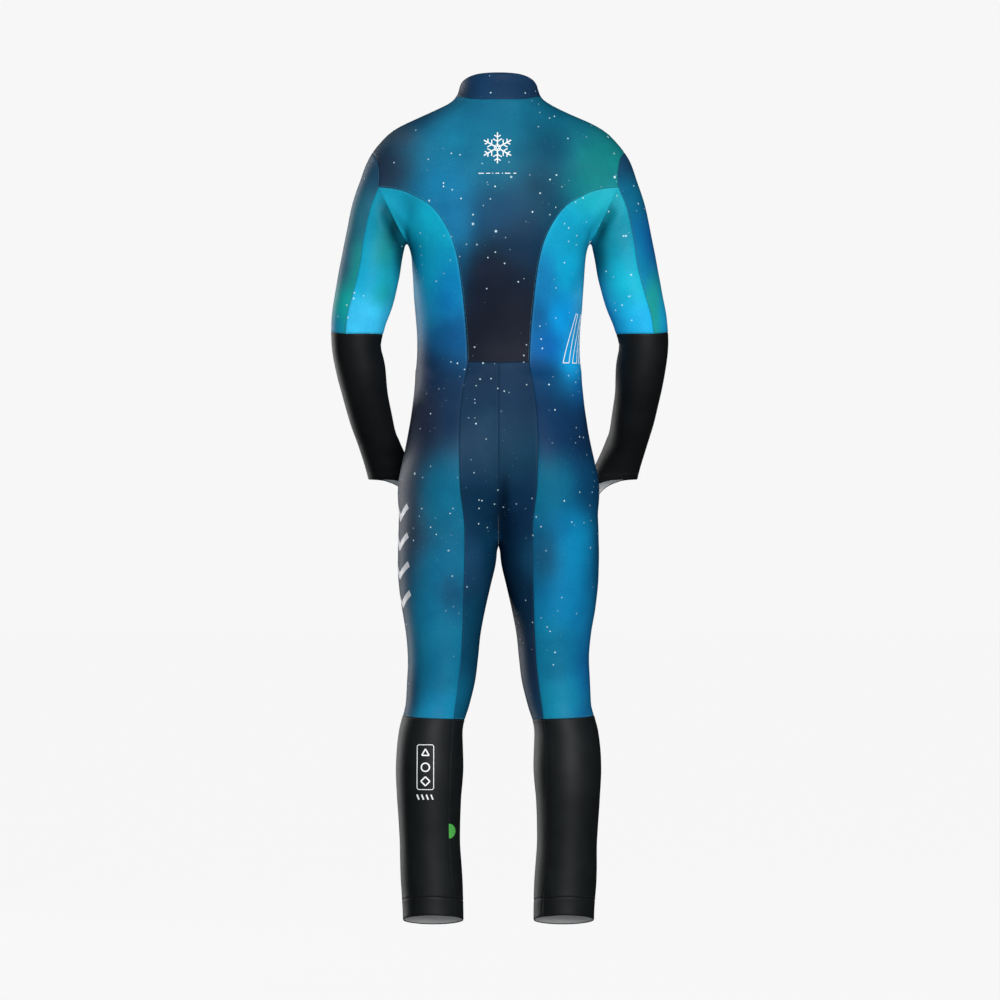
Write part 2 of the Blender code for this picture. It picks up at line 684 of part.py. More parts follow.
def sleeve_grid(lines):
    """The outer sleeve: rows from the armhole down to the elbow, back edge to front edge."""
    back = lines.back_sleeve[::-1]
    front = lines.front_sleeve[::-1]
    top = np.vstack([lines.back_armhole[::-1], lines.front_armhole[1:]])
    middle_z = np.linspace(ARMHOLE_TOP[2], ELBOW_Z + SLEEVE_RISE, SLEEVE_ROWS + 1)
    middle = cast(arm_axis(middle_z), np.tile([1.0, 0.0, 0.0], (len(middle_z), 1)))
    half = SLEEVE_COLS // 2
    rows = [top]
    for row in range(1, SLEEVE_ROWS + 1):
        rows.append(ring_row([back[row], middle[row], front[row]], [half, half], arm_axis))
    return relax(np.array(rows), 8)


def wrap_ring(axis, heights, angles, tilt):
    """A ring of points round a limb at the given angles, each at its own height."""
    middle = axis(heights)
    way = np.stack([np.cos(angles), np.sin(angles), -tilt * np.sin(angles)], axis=1)
    return cast(middle, way)


def ring_angles(axis, ring):
    """Angles of a ring's points round its axis, counted on from the first one."""
    reach = ring - axis(ring[:, 2])
    return np.unwrap(np.arctan2(reach[:, 1], reach[:, 0]))


def knee_ring(side, front, seat):
    """The knee seam, from the seam at the inner back round the outside, front and inside."""
    return np.vstack([side[-1], front[-1][::-1][1:], seat[-1][1:]])


def elbow_ring(sleeve, side):
    """The elbow seam, from the front sleeve seam round the inside, back and outside."""
    return np.vstack([side[0][::-1], sleeve[-1][1:]])


def calf_grid(knee):
    """Lower leg, closed by one seam at the inner back, from the knee to the ankle seam."""
    seam = seen_seam(CALF_SEAM, 1, CALF_ROWS)
    start = ring_angles(leg_axis, knee)
    rows = [knee]
    for row in range(1, CALF_ROWS + 1):
        share = row / CALF_ROWS
        centre = leg_axis(np.array([seam[row, 2]]))[0]
        turn = math.atan2(seam[row, 1] - centre[1], seam[row, 0] - centre[0]) - start[0]
        turn = (turn + math.pi) % (2.0 * math.pi) - math.pi
        base = (1.0 - share) * knee[:, 2] + share * ANKLE_Z
        rows.append(wrap_ring(leg_axis, base, start + turn, -share * ANKLE_SLOPE))
    return np.array(rows)


def band_grid(ankle):
    """The hem band below the ankle seam; its edge is lower at the front."""
    angles = ring_angles(leg_axis, ankle)
    hem = wrap_ring(leg_axis, np.full(len(ankle), HEM_Z), angles, -HEM_SLOPE)
    middle = settle(0.5 * (ankle + hem))
    return np.array([ankle, middle, hem])


def forearm_grid(elbow):
    """Lower sleeve from the elbow seam to the cuff, which reaches lower towards the body."""
    angles = ring_angles(arm_axis, elbow)
    reach = (angles - CUFF_POINT_ANGLE + math.pi) % (2.0 * math.pi) - math.pi
    cuff_z = CUFF_Z - CUFF_DIP * np.exp(-(reach / CUFF_DIP_SPREAD) ** 2)
    rows = [elbow]
    for row in range(1, FOREARM_ROWS + 1):
        share = row / FOREARM_ROWS
        heights = (1.0 - share) * elbow[:, 2] + share * cuff_z
        rows.append(wrap_ring(arm_axis, heights, angles, 0.0))
    return np.array(rows)


def collar_grid(lines):
    """The stand-up collar, from the front edge on one side round the back to the other."""
    half = np.r_[lines.neck_front_angle, lines.neck_back_angle[::-1][1:]]
    base = np.vstack([lines.neck_front, lines.neck_back[::-1][1:]])
    rows = [base]
    for row in range(1, COLLAR_ROWS + 1):
        share = row / COLLAR_ROWS
        height = neck_height(half) * (1.0 - share) + collar_height(half) * share
        rows.append(neck_ring(half, height))
    left = np.array(rows)
    right = mirrored(left)[:, ::-1]
    return np.concatenate([left, right[:, 1:]], axis=1)


def mirrored(grid):
    return grid * np.array([-1.0, 1.0, 1.0])


def joined_halves(grid):
    """A grid from the middle outwards and its mirror image, as one grid."""
    return np.concatenate([mirrored(grid)[:, ::-1], grid[:, 1:]], axis=1)


def arm_lean(points):
    """Both arms are held a little towards the wearer's right, more so lower down."""
    share = np.clip((ARM_LEAN_TOP_Z - points[..., 2]) / (ARM_LEAN_TOP_Z - CUFF_Z), 0.0, 1.0)
    moved = points.copy()
    moved[..., 0] -= ARM_LEAN * share * share * (3.0 - 2.0 * share)
    return moved


def edge_inset(points, normals, sense, inset):
    """How far each point round the edge moves in, square to both edges that meet there."""
    before = points - np.roll(points, 1, axis=0)
    after = np.roll(points, -1, axis=0) - points
    first = sense * np.cross(before, normals)
    second = sense * np.cross(after, normals)
    first /= np.linalg.norm(first, axis=1, keepdims=True)
    second /= np.linalg.norm(second, axis=1, keepdims=True)
    meeting = 1.0 + (first * second).sum(axis=1, keepdims=True)
    return inset * (first + second) / np.maximum(meeting, 0.25)


def cell_faces(points, number):
    """Two triangles for each cell of a grid, split along its shorter diagonal."""
    corners = [number[:-1, :-1], number[1:, :-1], number[1:, 1:], number[:-1, 1:]]
    a, b, c, d = [corner.reshape(-1) for corner in corners]
    falling = np.linalg.norm(points[a] - points[c], axis=1)
    rising = np.linalg.norm(points[b] - points[d], axis=1)
    by_first = np.stack([a, b, c, a, c, d], axis=1)
    by_second = np.stack([a, b, d, b, c, d], axis=1)
    return np.where((falling <= rising)[:, None], by_first, by_second).reshape(-1, 3)


def rim_faces(points, loop, count):
    """Two triangles for each piece of the edge, split the same way on both sides of a seam."""
    start, end = loop, np.roll(loop, -1)
    rank = points[:, 2] + 0.1 * np.abs(points[:, 0])
    upper = (rank[start] > rank[end])[:, None]
    falling = np.stack([start, end, end + count, start, end + count, start + count], axis=1)
    rising = np.stack([start, end, start + count, end, end + count, start + count], axis=1)
    return np.where(upper, falling, rising).reshape(-1, 3)


def cloth_mesh(name, grid, wall, lift=0.0, lean_rows=0):
    """A closed wall on a grid of outer points, its edges drawn back by half the seam gap."""
    rows, cols = grid.shape[0] - 1, grid.shape[1] - 1
    flat = grid.reshape(-1, 3)
    normals = body_normal(flat)
    normals /= np.linalg.norm(normals, axis=1, keepdims=True)
    down = grid[1:, :-1] - grid[:-1, :-1]
    along = grid[:-1, 1:] - grid[:-1, :-1]
    facing = np.cross(down, along).reshape(-1, 3)
    first_normals = normals.reshape(rows + 1, cols + 1, 3)[:-1, :-1].reshape(-1, 3)
    sense = 1.0 if (facing * first_normals).sum() > 0.0 else -1.0

    number = np.arange((rows + 1) * (cols + 1)).reshape(rows + 1, cols + 1)
    loop = np.r_[number[0, :-1], number[:-1, -1], number[-1, :0:-1], number[:0:-1, 0]]
    inset = np.zeros_like(flat)
    inset[loop] = edge_inset(flat[loop], normals[loop], sense, 0.5 * SEAM_GAP)
    outer = flat + inset + normals * lift
    inner = outer - normals * wall
    if lean_rows:
        last = lean_rows * (cols + 1)
        outer[:last] = arm_lean(outer[:last])
        inner[:last] = arm_lean(inner[:last])

    count = len(flat)
    outside = cell_faces(flat, number)
    inside = outside[:, ::-1] + count
    rim = rim_faces(flat, loop, count)
    if sense < 0.0:
        outside, inside, rim = outside[:, ::-1], inside[:, ::-1], rim[:, ::-1]
    mesh = bpy.data.meshes.new(name)
    faces = np.vstack([outside, inside, rim]).tolist()
    mesh.from_pydata(np.vstack([outer, inner]).tolist(), [], faces)
    mesh.update()
    mesh.shade_smooth()
    return mesh


def make_material(name):
    red, green, blue, roughness = FINISHES[name]
    material = bpy.data.materials.new(name)
    material.use_nodes = True
    shader = material.node_tree.nodes["Principled BSDF"]
    shader.inputs["Base Color"].default_value = (red, green, blue, 1.0)
    shader.inputs["Roughness"].default_value = roughness
    shader.inputs["Metallic"].default_value = 1.0 if name == "zip_metal" else 0.0
    return material


def add_object(name, mesh, material, collection):
    obj = bpy.data.objects.new(name, mesh)
    mesh.materials.append(material)
    collection.objects.link(obj)
    return obj


def add_cloth(name, grid, finish, suit, wall=WALL, lift=0.0, lean_rows=0):
    mesh = cloth_mesh(name, grid, wall, lift, lean_rows)
    return add_object(name, mesh, suit["materials"][finish], suit["collection"])


def add_cloth_pair(name, grid, finish, suit, **options):
    """The same piece for the wearer's left and, mirrored, for the right."""
    add_cloth(name + "_left", grid, finish, suit, **options)
    add_cloth(name + "_right", mirrored(grid), finish, suit, **options)


def zip_tape_grid(collar, front):
    """One zip tape on the collar's and the front's own facets, from the collar's top down."""
    stretch = np.concatenate([collar[::-1, :2], front[1:, :2]], axis=0)
    keep = stretch[:, 0, 2] > ZIP_BOTTOM_Z
    stretch = stretch[keep]
    across = stretch[:, 1] - stretch[:, 0]
    share = TAPE_WIDTH / np.linalg.norm(across, axis=1, keepdims=True)
    return np.stack([stretch[:, 0], stretch[:, 0] + across * share], axis=1)


def box_mesh(name, low, high, bevel):
    """A block between two corners with its edges rounded."""
    low, high = np.array(low), np.array(high)
    mesh = bpy.data.meshes.new(name)
    shape = bmesh.new()
    bmesh.ops.create_cube(shape, size=1.0)
    bmesh.ops.scale(shape, vec=(high - low).tolist(), verts=shape.verts)
    bmesh.ops.translate(shape, vec=(0.5 * (low + high)).tolist(), verts=shape.verts)
    if bevel:
        bmesh.ops.bevel(shape, geom=shape.edges[:], offset=bevel, segments=2, profile=0.5,
                        affect="EDGES")
    shape.to_mesh(mesh)
    shape.free()
    return mesh


def add_boolean(target, cutter_mesh, operation, suit):
    """Join or cut a solid with another, which stays as a hidden helper."""
    helper = bpy.data.objects.new(cutter_mesh.name, cutter_mesh)
    helper.hide_render = True
    helper.display_type = "WIRE"
    helper.parent = target.parent
    suit["helpers"].objects.link(helper)
    change = target.modifiers.new(operation.lower(), "BOOLEAN")
    change.operation = operation
    change.object = helper
    change.solver = "EXACT"


def add_zip_hardware(tape, suit):
    """Slider and pull tab on the front of the collar, in the slope that the tape has there."""
    top, below = tape[0, 0], tape[1, 0]
    up = (top - below) / np.linalg.norm(top - below)
    out = np.array([0.0, -up[2], up[1]])
    place = top - up * SLIDER_DROP + out * (TAPE_LIFT + TAPE_WALL + SLIDER_CLEAR)
    slope = math.atan2(up[1], up[2])

    holder = bpy.data.objects.new("slider_place", None)
    holder.location = place.tolist()
    holder.rotation_euler = (-slope, 0.0, 0.0)
    suit["collection"].objects.link(holder)

    wide, deep, tall = SLIDER_SIZE
    body = box_mesh("zip_slider", (-wide / 2, -deep, -tall / 2), (wide / 2, 0.0, tall / 2), 0.0006)
    slider = add_object("zip_slider", body, suit["materials"]["zip_metal"], suit["collection"])
    slider.parent = holder
    arch = box_mesh("bridge", (-BRIDGE_WIDTH / 2, -deep - BRIDGE_HEIGHT, -BRIDGE_REACH),
                    (BRIDGE_WIDTH / 2, -deep + 0.0005, BRIDGE_REACH), 0.0)
    add_boolean(slider, arch, "UNION", suit)
    gap = box_mesh("bridge_gap", (-BRIDGE_WIDTH, -deep - BRIDGE_HEIGHT + BRIDGE_BAR,
                                  -BRIDGE_REACH + BRIDGE_BAR),
                   (BRIDGE_WIDTH, -deep, BRIDGE_REACH - BRIDGE_BAR), 0.0)
    add_boolean(slider, gap, "DIFFERENCE", suit)

    pin = bpy.data.objects.new("pull_place", None)
    pin.parent = holder
    pin.location = (0.0, -deep - PULL_AXIS, 0.0)
    pin.rotation_euler = (-PULL_TILT, 0.0, 0.0)
    suit["collection"].objects.link(pin)
    wide, thick, tall = PULL_SIZE
    plate = box_mesh("zip_pull", (-wide / 2, -thick / 2, PULL_BAR / 2 - tall),
                     (wide / 2, thick / 2, PULL_BAR / 2), 0.0003)
    pull = add_object("zip_pull", plate, suit["materials"]["zip_metal"], suit["collection"])
    pull.parent = pin
    slot = box_mesh("pull_slot", (-PULL_SLOT_WIDTH / 2, -thick, -PULL_SLOT_END),
                    (PULL_SLOT_WIDTH / 2, thick, -PULL_BAR / 2), 0.0)
    add_boolean(pull, slot, "DIFFERENCE", suit)


def new_collection(name):
    collection = bpy.data.collections.new(name)
    bpy.context.scene.collection.children.link(collection)
    return collection


def main():
    for obj in list(bpy.data.objects):
        bpy.data.objects.remove(obj, do_unlink=True)
    suit = {
        "collection": new_collection("race_suit"),
        "helpers": new_collection("helpers"),
        "materials": {name: make_material(name) for name in FINISHES},
    }
    lines = Lines()
    back = back_grid(lines)
    front = front_grid(lines)
    seat = seat_grid(lines, back[-1])
    side = side_grid(lines)
    sleeve = sleeve_grid(lines)
    collar = collar_grid(lines)
    forearm = forearm_grid(elbow_ring(sleeve, side))
    calf = calf_grid(knee_ring(side, front, seat))
    band = band_grid(calf[-1])
    tape = zip_tape_grid(collar, front)

    add_cloth("back_panel", joined_halves(back), "suit_print", suit)
    add_cloth("collar", collar, "suit_dark", suit)
    add_cloth_pair("front_panel", front, "suit_print", suit)
    add_cloth_pair("under_sleeve", side[:SLEEVE_ROWS + 1], "suit_print", suit,
                   lean_rows=SLEEVE_ROWS)
    add_cloth_pair("side_panel", side[SLEEVE_ROWS:], "suit_print", suit)
    add_cloth_pair("seat_panel", seat, "suit_dark", suit)
    add_cloth_pair("sleeve", sleeve, "suit_print", suit, lean_rows=SLEEVE_ROWS + 1)
    add_cloth_pair("forearm", forearm, "black_cloth", suit, lean_rows=FOREARM_ROWS + 1)
    add_cloth_pair("calf", calf, "black_cloth", suit)
    add_cloth_pair("ankle_band", band, "black_cloth", suit)
    add_cloth_pair("zip_tape", tape, "zip_tape", suit, wall=TAPE_WALL, lift=TAPE_LIFT + TAPE_WALL)
    add_zip_hardware(tape, suit)


main()
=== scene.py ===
"""Looks of the one-piece race suit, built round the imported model.

The worn shape is the same blend of torso, neck, arms and legs as in the model's own source, with
the same tables. Each cut piece is drawn again on it, finer and thinner, with its relief, print,
stitching, marks and zip.
"""
import itertools
import math

import bmesh
import bpy
import numpy as np
from mathutils import Matrix, Vector


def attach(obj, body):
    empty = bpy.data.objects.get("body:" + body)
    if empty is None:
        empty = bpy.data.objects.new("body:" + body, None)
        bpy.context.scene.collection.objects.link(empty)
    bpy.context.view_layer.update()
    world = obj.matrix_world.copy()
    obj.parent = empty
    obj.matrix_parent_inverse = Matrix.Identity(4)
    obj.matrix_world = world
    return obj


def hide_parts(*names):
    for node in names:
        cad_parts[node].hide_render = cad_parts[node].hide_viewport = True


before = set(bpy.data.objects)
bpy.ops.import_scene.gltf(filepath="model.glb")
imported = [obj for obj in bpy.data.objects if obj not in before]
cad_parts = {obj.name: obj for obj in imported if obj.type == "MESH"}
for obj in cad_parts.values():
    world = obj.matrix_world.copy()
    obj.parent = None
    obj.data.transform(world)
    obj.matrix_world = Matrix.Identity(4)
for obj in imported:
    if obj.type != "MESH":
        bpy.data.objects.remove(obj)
LOOKS = {}

# Driving dimensions
SEAM_GAP = 0.0003
NECK_Z = -0.003
WAIST_Z = -0.447
CROTCH_Z = -0.745
KNEE_Z = -1.0455
ELBOW_Z = -0.3990
CUFF_Z = -0.6450
ANKLE_Z = -1.3600
HEM_Z = -1.3930
NECK_SIDE_RISE = 0.0210
NECK_FRONT_DROP = 0.0500
COLLAR_BACK_Z = 0.0435
COLLAR_FRONT_DROP = 0.0460
COLLAR_SLOPE_POWER = 1.35

# Grid sizes: pieces along each seam
NECK_COLS = 5
SHOULDER_COLS = 3
BODY_COLS = NECK_COLS + SHOULDER_COLS
SIDE_COLS = 6
ARMHOLE_ROWS = 4
SLEEVE_COLS = 2 * ARMHOLE_ROWS
SLEEVE_ROWS = 8
TORSO_ROWS = 11
THIGH_ROWS = 19
CROTCH_ROW = 11
FOREARM_ROWS = 8
CALF_ROWS = 9
COLLAR_ROWS = 3

# Sections of the torso: height, half width, middle and half depth, squareness of the sides
TORSO = (
    (0.030, 0.0400, 0.000, 0.040, 2.0),
    (0.005, 0.0620, 0.000, 0.055, 1.9),
    (-0.020, 0.1120, 0.000, 0.068, 1.7),
    (-0.040, 0.1440, 0.001, 0.080, 1.6),
    (-0.060, 0.1710, 0.002, 0.090, 1.6),
    (-0.080, 0.1880, 0.002, 0.097, 1.7),
    (-0.110, 0.1980, 0.002, 0.105, 1.9),
    (-0.150, 0.1900, 0.000, 0.112, 2.1),
    (-0.200, 0.1740, -0.003, 0.117, 2.3),
    (-0.240, 0.1570, -0.006, 0.119, 2.4),
    (-0.262, 0.1490, -0.008, 0.118, 2.4),
    (-0.296, 0.1462, -0.011, 0.115, 2.4),
    (-0.340, 0.1435, -0.015, 0.109, 2.4),
    (-0.390, 0.1394, -0.018, 0.103, 2.4),
    (-0.425, 0.1386, -0.018, 0.100, 2.4),
    (-0.459, 0.1402, -0.015, 0.101, 2.4),
    (-0.500, 0.1420, -0.009, 0.106, 2.3),
    (-0.540, 0.1440, -0.003, 0.112, 2.3),
    (-0.580, 0.1470, 0.000, 0.115, 2.3),
    (-0.620, 0.1530, 0.002, 0.113, 2.3),
    (-0.660, 0.1600, 0.003, 0.104, 2.2),
    (-0.695, 0.1500, 0.002, 0.082, 2.0),
    (-0.720, 0.1200, 0.000, 0.050, 2.0),
    (-0.738, 0.0800, 0.000, 0.020, 2.0),
)

# Sections of the neck: height, half width, middle and half depth
NECK = (
    (-0.060, 0.0700, -0.006, 0.068),
    (-0.020, 0.0690, -0.005, 0.066),
    (0.000, 0.0675, -0.006, 0.064),
    (0.015, 0.0655, -0.008, 0.062),
    (0.030, 0.0635, -0.011, 0.060),
    (0.060, 0.0620, -0.018, 0.060),
)

# Sections of one leg, from inside the hip to below the hem: height, middle and half width,
# middle and half depth
LEG = (
    (-0.480, 0.0700, 0.0480, 0.004, 0.078),
    (-0.540, 0.0740, 0.0640, 0.008, 0.098),
    (-0.590, 0.0790, 0.0730, 0.012, 0.109),
    (-0.640, 0.0825, 0.0815, 0.012, 0.110),
    (-0.700, 0.0848, 0.0838, 0.006, 0.103),
    (-0.745, 0.0862, 0.0842, 0.002, 0.098),
    (-0.785, 0.0876, 0.0833, 0.000, 0.094),
    (-0.826, 0.0914, 0.0778, -0.001, 0.089),
    (-0.867, 0.0935, 0.0706, -0.002, 0.083),
    (-0.908, 0.0939, 0.0633, -0.002, 0.076),
    (-0.949, 0.0944, 0.0595, -0.002, 0.070),
    (-0.989, 0.0978, 0.0578, -0.001, 0.065),
    (-1.030, 0.1041, 0.0540, 0.001, 0.061),
    (-1.051, 0.1105, 0.0536, 0.004, 0.060),
    (-1.071, 0.1148, 0.0544, 0.008, 0.060),
    (-1.100, 0.1164, 0.0562, 0.014, 0.061),
    (-1.132, 0.1169, 0.0574, 0.019, 0.062),
    (-1.163, 0.1174, 0.0562, 0.021, 0.061),
    (-1.193, 0.1177, 0.0540, 0.021, 0.059),
    (-1.255, 0.1165, 0.0512, 0.017, 0.056),
    (-1.316, 0.1139, 0.0527, 0.013, 0.056),
    (-1.377, 0.1112, 0.0516, 0.011, 0.056),
    (-1.430, 0.1105, 0.0512, 0.010, 0.056),
)

# Centre line of one arm, shoulder to below the cuff: x, y, z, radius
ARM = (
    (0.1480, -0.002, -0.102, 0.0500),
    (0.1760, 0.001, -0.140, 0.0540),
    (0.1950, 0.003, -0.190, 0.0550),
    (0.2100, 0.006, -0.245, 0.0512),
    (0.2197, 0.010, -0.296, 0.0514),
    (0.2286, 0.014, -0.337, 0.0500),
    (0.2389, 0.016, -0.377, 0.0459),
    (0.2440, 0.014, -0.418, 0.0417),
    (0.2376, 0.002, -0.459, 0.0421),
    (0.2316, -0.014, -0.500, 0.0387),
    (0.2236, -0.036, -0.541, 0.0366),
    (0.2138, -0.062, -0.581, 0.0336),
    (0.2030, -0.090, -0.619, 0.0330),
    (0.1950, -0.112, -0.650, 0.0340),
    (0.1880, -0.130, -0.680, 0.0340),
)

# Swelling of the cuff over the root of the thumb, on the side towards the body
THUMB = (
    (0.2050, -0.080, -0.590, 0.0240),
    (0.1840, -0.100, -0.640, 0.0300),
    (0.1720, -0.110, -0.668, 0.0310),
    (0.1640, -0.118, -0.700, 0.0310),
)

# How softly the forms run into each other
ARM_BLEND_TOP = 0.050
ARM_BLEND_PIT = 0.006
ARM_BLEND_TOP_Z = -0.120
ARM_BLEND_PIT_Z = -0.235
LEG_BLEND = 0.006
HIP_BLEND = 0.030
NECK_BLEND = 0.030
THUMB_BLEND = 0.020

# Seams as seen square from the back or the front: distance from the middle, height
BACK_SLEEVE_SEAM = (
    (0.2609, -0.3990), (0.2593, -0.3774), (0.2465, -0.3300), (0.2355, -0.2873),
    (0.2295, -0.2431), (0.2218, -0.2060), (0.2140, -0.1770), (0.2030, -0.1510),
)
BACK_SIDE_SEAM = (
    (0.2030, -0.1510), (0.1760, -0.1540), (0.1380, -0.1690), (0.1050, -0.1930), (0.0875, -0.2227),
    (0.0745, -0.2525), (0.0665, -0.2890), (0.0600, -0.3400), (0.0548, -0.3950), (0.0524, -0.4470),
)
BACK_THIGH_SEAM = (
    (0.0524, -0.4470), (0.0590, -0.4900), (0.0650, -0.5400), (0.0655, -0.6360), (0.0628, -0.6780),
    (0.0575, -0.7157), (0.0570, -0.7650), (0.0590, -0.8500), (0.0608, -0.9040), (0.0640, -0.9600),
    (0.0690, -1.0000), (0.0755, -1.0505),
)
FRONT_SLEEVE_SEAM = (
    (0.2520, -0.3960), (0.2440, -0.3600), (0.2300, -0.3000), (0.2180, -0.2450),
    (0.2060, -0.2000), (0.1960, -0.1640),
)
FRONT_SIDE_SEAM = (
    (0.1960, -0.1640), (0.1720, -0.1850), (0.1480, -0.2200), (0.1280, -0.2700),
    (0.1160, -0.3300), (0.1080, -0.3900), (0.1060, -0.4470),
)
FRONT_THIGH_SEAM = (
    (0.1060, -0.4470), (0.1110, -0.5200), (0.1180, -0.6200), (0.1200, -0.7200), (0.1180, -0.8200),
    (0.1160, -0.9200), (0.1220, -1.0000), (0.1320, -1.0505),
)
ARMHOLE_TOP = (0.2150, -0.010, -0.0860)
BACK_ARMHOLE = ((0.2030, -0.1510), (0.2022, -0.1240), (0.2075, -0.1010))
FRONT_ARMHOLE = ((0.1960, -0.1640), (0.1945, -0.1330), (0.2030, -0.1060))

# The lower leg's one seam is drawn in the same way
CALF_SEAM = (
    (0.0755, -1.0505), (0.0800, -1.1000), (0.0825, -1.1560), (0.0845, -1.2087), (0.0845, -1.2530),
    (0.0808, -1.3120), (0.0745, -1.3550),
)

# How far the ankle seam and the hem rise towards the back, per metre of depth
ANKLE_SLOPE = 0.18
HEM_SLOPE = 0.21

# The cuff's lowest place: which way round the arm, how deep and how broad
CUFF_POINT_ANGLE = math.radians(195.0)
CUFF_DIP = 0.040
CUFF_DIP_SPREAD = math.radians(50.0)

# How far the arms are held towards the wearer's right at the cuffs
ARM_LEAN = 0.0075
ARM_LEAN_TOP_Z = -0.280

# Middle line of the side piece: where it leaves the inner arm and where it joins the torso
FAN_ROWS = 4
SLEEVE_MID_Z = -0.315
SIDE_MID_Z = -0.330
PIT_SEARCH_X = (0.145, 0.185)
PIT_SEARCH_Z = -0.190
VALLEY_OUT = 0.006
VALLEY_UP = 0.012

# Inner points from which rows of points are sent out to the surface
NECK_MID_Y = -0.006
NECK_QUARTER = math.radians(97.2)
SHOULDER_FROM_X = 0.190
SHOULDER_FROM_Z = -0.130
TURN_Z = -0.600
MIDDLE_SAMPLES = 60
SHOULDER_SAMPLES = 9
PIT_SAMPLES = 41
HALVINGS = 30
SEEN_FROM = 0.30
SEEN_STEPS = 120
HIP_AXIS_X = 0.060
HIP_AXIS_HEIGHT = 0.250
INSEAM_DROP = 0.008
SLEEVE_RISE = 0.004

# Zip, slider and pull tab
TAPE_WIDTH = 0.0105
TAPE_WALL = 0.0010
TAPE_LIFT = 0.0008
ZIP_BOTTOM_Z = -0.640
SLIDER_SIZE = (0.0090, 0.0030, 0.0120)
PULL_SIZE = (0.0070, 0.0012, 0.0270)
SLIDER_DROP = 0.0085
SLIDER_CLEAR = 0.0003
PULL_TILT = math.radians(8.0)
BRIDGE_HEIGHT = 0.0030
BRIDGE_REACH = 0.0035
PULL_AXIS = 0.0010
PULL_BAR = 0.0013
PULL_SLOT_END = 0.0048


def columns(*parts):
    """Rows from their columns; a single number stands for a whole column."""
    return np.stack(np.broadcast_arrays(*parts), axis=1)


def unit(vectors):
    return vectors / np.linalg.norm(vectors, axis=-1, keepdims=True)


def curve_at(points, places):
    """A soft curve through a row of points, read at places counted in points."""
    slopes = np.gradient(points, axis=0)
    low = np.minimum(places.astype(int), len(points) - 2)
    t = (places - low).reshape((-1,) + (1,) * (points.ndim - 1))
    a, b, da, db = points[low], points[low + 1], slopes[low], slopes[low + 1]
    return ((2 * (a - b) + da + db) * t + 3 * (b - a) - 2 * da - db) * t * t + da * t + a


def smooth_line(rows, samples=12):
    """A soft curve through the rows of a short table."""
    points = np.array(rows, dtype=float)
    return curve_at(points, np.arange((len(points) - 1) * samples + 1) / samples)


class Table:
    """A table of sections made smooth: all its columns are read at any height."""

    def __init__(self, rows, z_column=0):
        dense = smooth_line(rows, 24)
        order = np.argsort(dense[:, z_column], kind="stable")
        self.columns = dense[order].T.copy()
        self.z = self.columns[z_column]

    def at(self, z):
        return [np.interp(z, self.z, column) for column in self.columns]


def soft_union(a, b, size):
    """The smaller of two distances, with the corner between them rounded by size."""
    share = np.maximum(size - np.abs(a - b), 0.0) / size
    return np.minimum(a, b) - share * share * size * 0.25


def oval_distance(across, width, through, depth, power):
    """About how far a point lies outside a flat oval section."""
    u = np.abs(across) / width
    v = np.abs(through) / depth
    inside = u ** power + v * v - 1.0
    slope_u = power * u ** (power - 1.0) / width
    slope_v = 2.0 * v / depth
    return inside / np.maximum(np.hypot(slope_u, slope_v), 1.0 / np.maximum(width, depth))


TORSO_TABLE = Table(TORSO)
NECK_TABLE = Table(NECK)
LEG_TABLE = Table(LEG)
ARM_TABLE = Table(ARM, 2)
THUMB_TABLE = Table(THUMB, 2)


def close_ends(distance, z, rows):
    """Ends a form at the first and last height of its table of sections."""
    heights = [row[0] for row in rows]
    beyond = np.maximum(z - max(heights), min(heights) - z)
    return np.where(beyond > 0.0, np.maximum(distance, beyond), distance)


def limb_distance(x, y, z, table):
    """Distance to a limb: the nearest point of its centre line, less the radius there."""
    lowest, highest = table.z[0], table.z[-1]
    guess = np.clip(z, lowest, highest)
    for _ in range(3):
        mid_x, mid_y, mid_z, radius = table.at(guess)
        step = 0.002
        low_x, low_y, _, _ = table.at(guess - step)
        run_x = (mid_x - low_x) / step
        run_y = (mid_y - low_y) / step
        along = (x - mid_x) * run_x + (y - mid_y) * run_y + (z - mid_z)
        guess = np.clip(guess + along / (run_x ** 2 + run_y ** 2 + 1.0), lowest, highest)
    mid_x, mid_y, mid_z, radius = table.at(guess)
    return np.sqrt((x - mid_x) ** 2 + (y - mid_y) ** 2 + (z - mid_z) ** 2) - radius


def leg_distance(x, y, z):
    _, mid_x, width, mid_y, depth = LEG_TABLE.at(z)
    return close_ends(oval_distance(x - mid_x, width, y - mid_y, depth, 2.0), z, LEG)


def body_distance(points):
    """Signed distance, about, from the outer face of the worn suit."""
    x, y, z = np.abs(points[:, 0]), points[:, 1], points[:, 2]
    _, width, mid_y, depth, power = TORSO_TABLE.at(z)
    torso = close_ends(oval_distance(x, width, y - mid_y, depth, power), z, TORSO)
    _, width, mid_y, depth = NECK_TABLE.at(z)
    neck = close_ends(oval_distance(x, width, y - mid_y, depth, 2.0), z, NECK)
    legs = soft_union(leg_distance(x, y, z), leg_distance(-x, y, z), LEG_BLEND)
    arm = limb_distance(x, y, z, ARM_TABLE)
    thumb = limb_distance(x, y, z, THUMB_TABLE)
    height = np.clip((z - ARM_BLEND_PIT_Z) / (ARM_BLEND_TOP_Z - ARM_BLEND_PIT_Z), 0.0, 1.0)
    arm_blend = ARM_BLEND_PIT + (ARM_BLEND_TOP - ARM_BLEND_PIT) * height
    body = soft_union(torso, neck, NECK_BLEND)
    body = soft_union(body, legs, HIP_BLEND)
    arm = soft_union(arm, thumb, THUMB_BLEND)
    return soft_union(body, arm, arm_blend)


def body_normal(points):
    """Direction straight out of the surface at each point."""
    step = 0.0002
    parts = []
    for axis in range(3):
        shift = np.zeros(3)
        shift[axis] = step
        parts.append((body_distance(points + shift) - body_distance(points - shift)) / (2 * step))
    return np.stack(parts, axis=1)


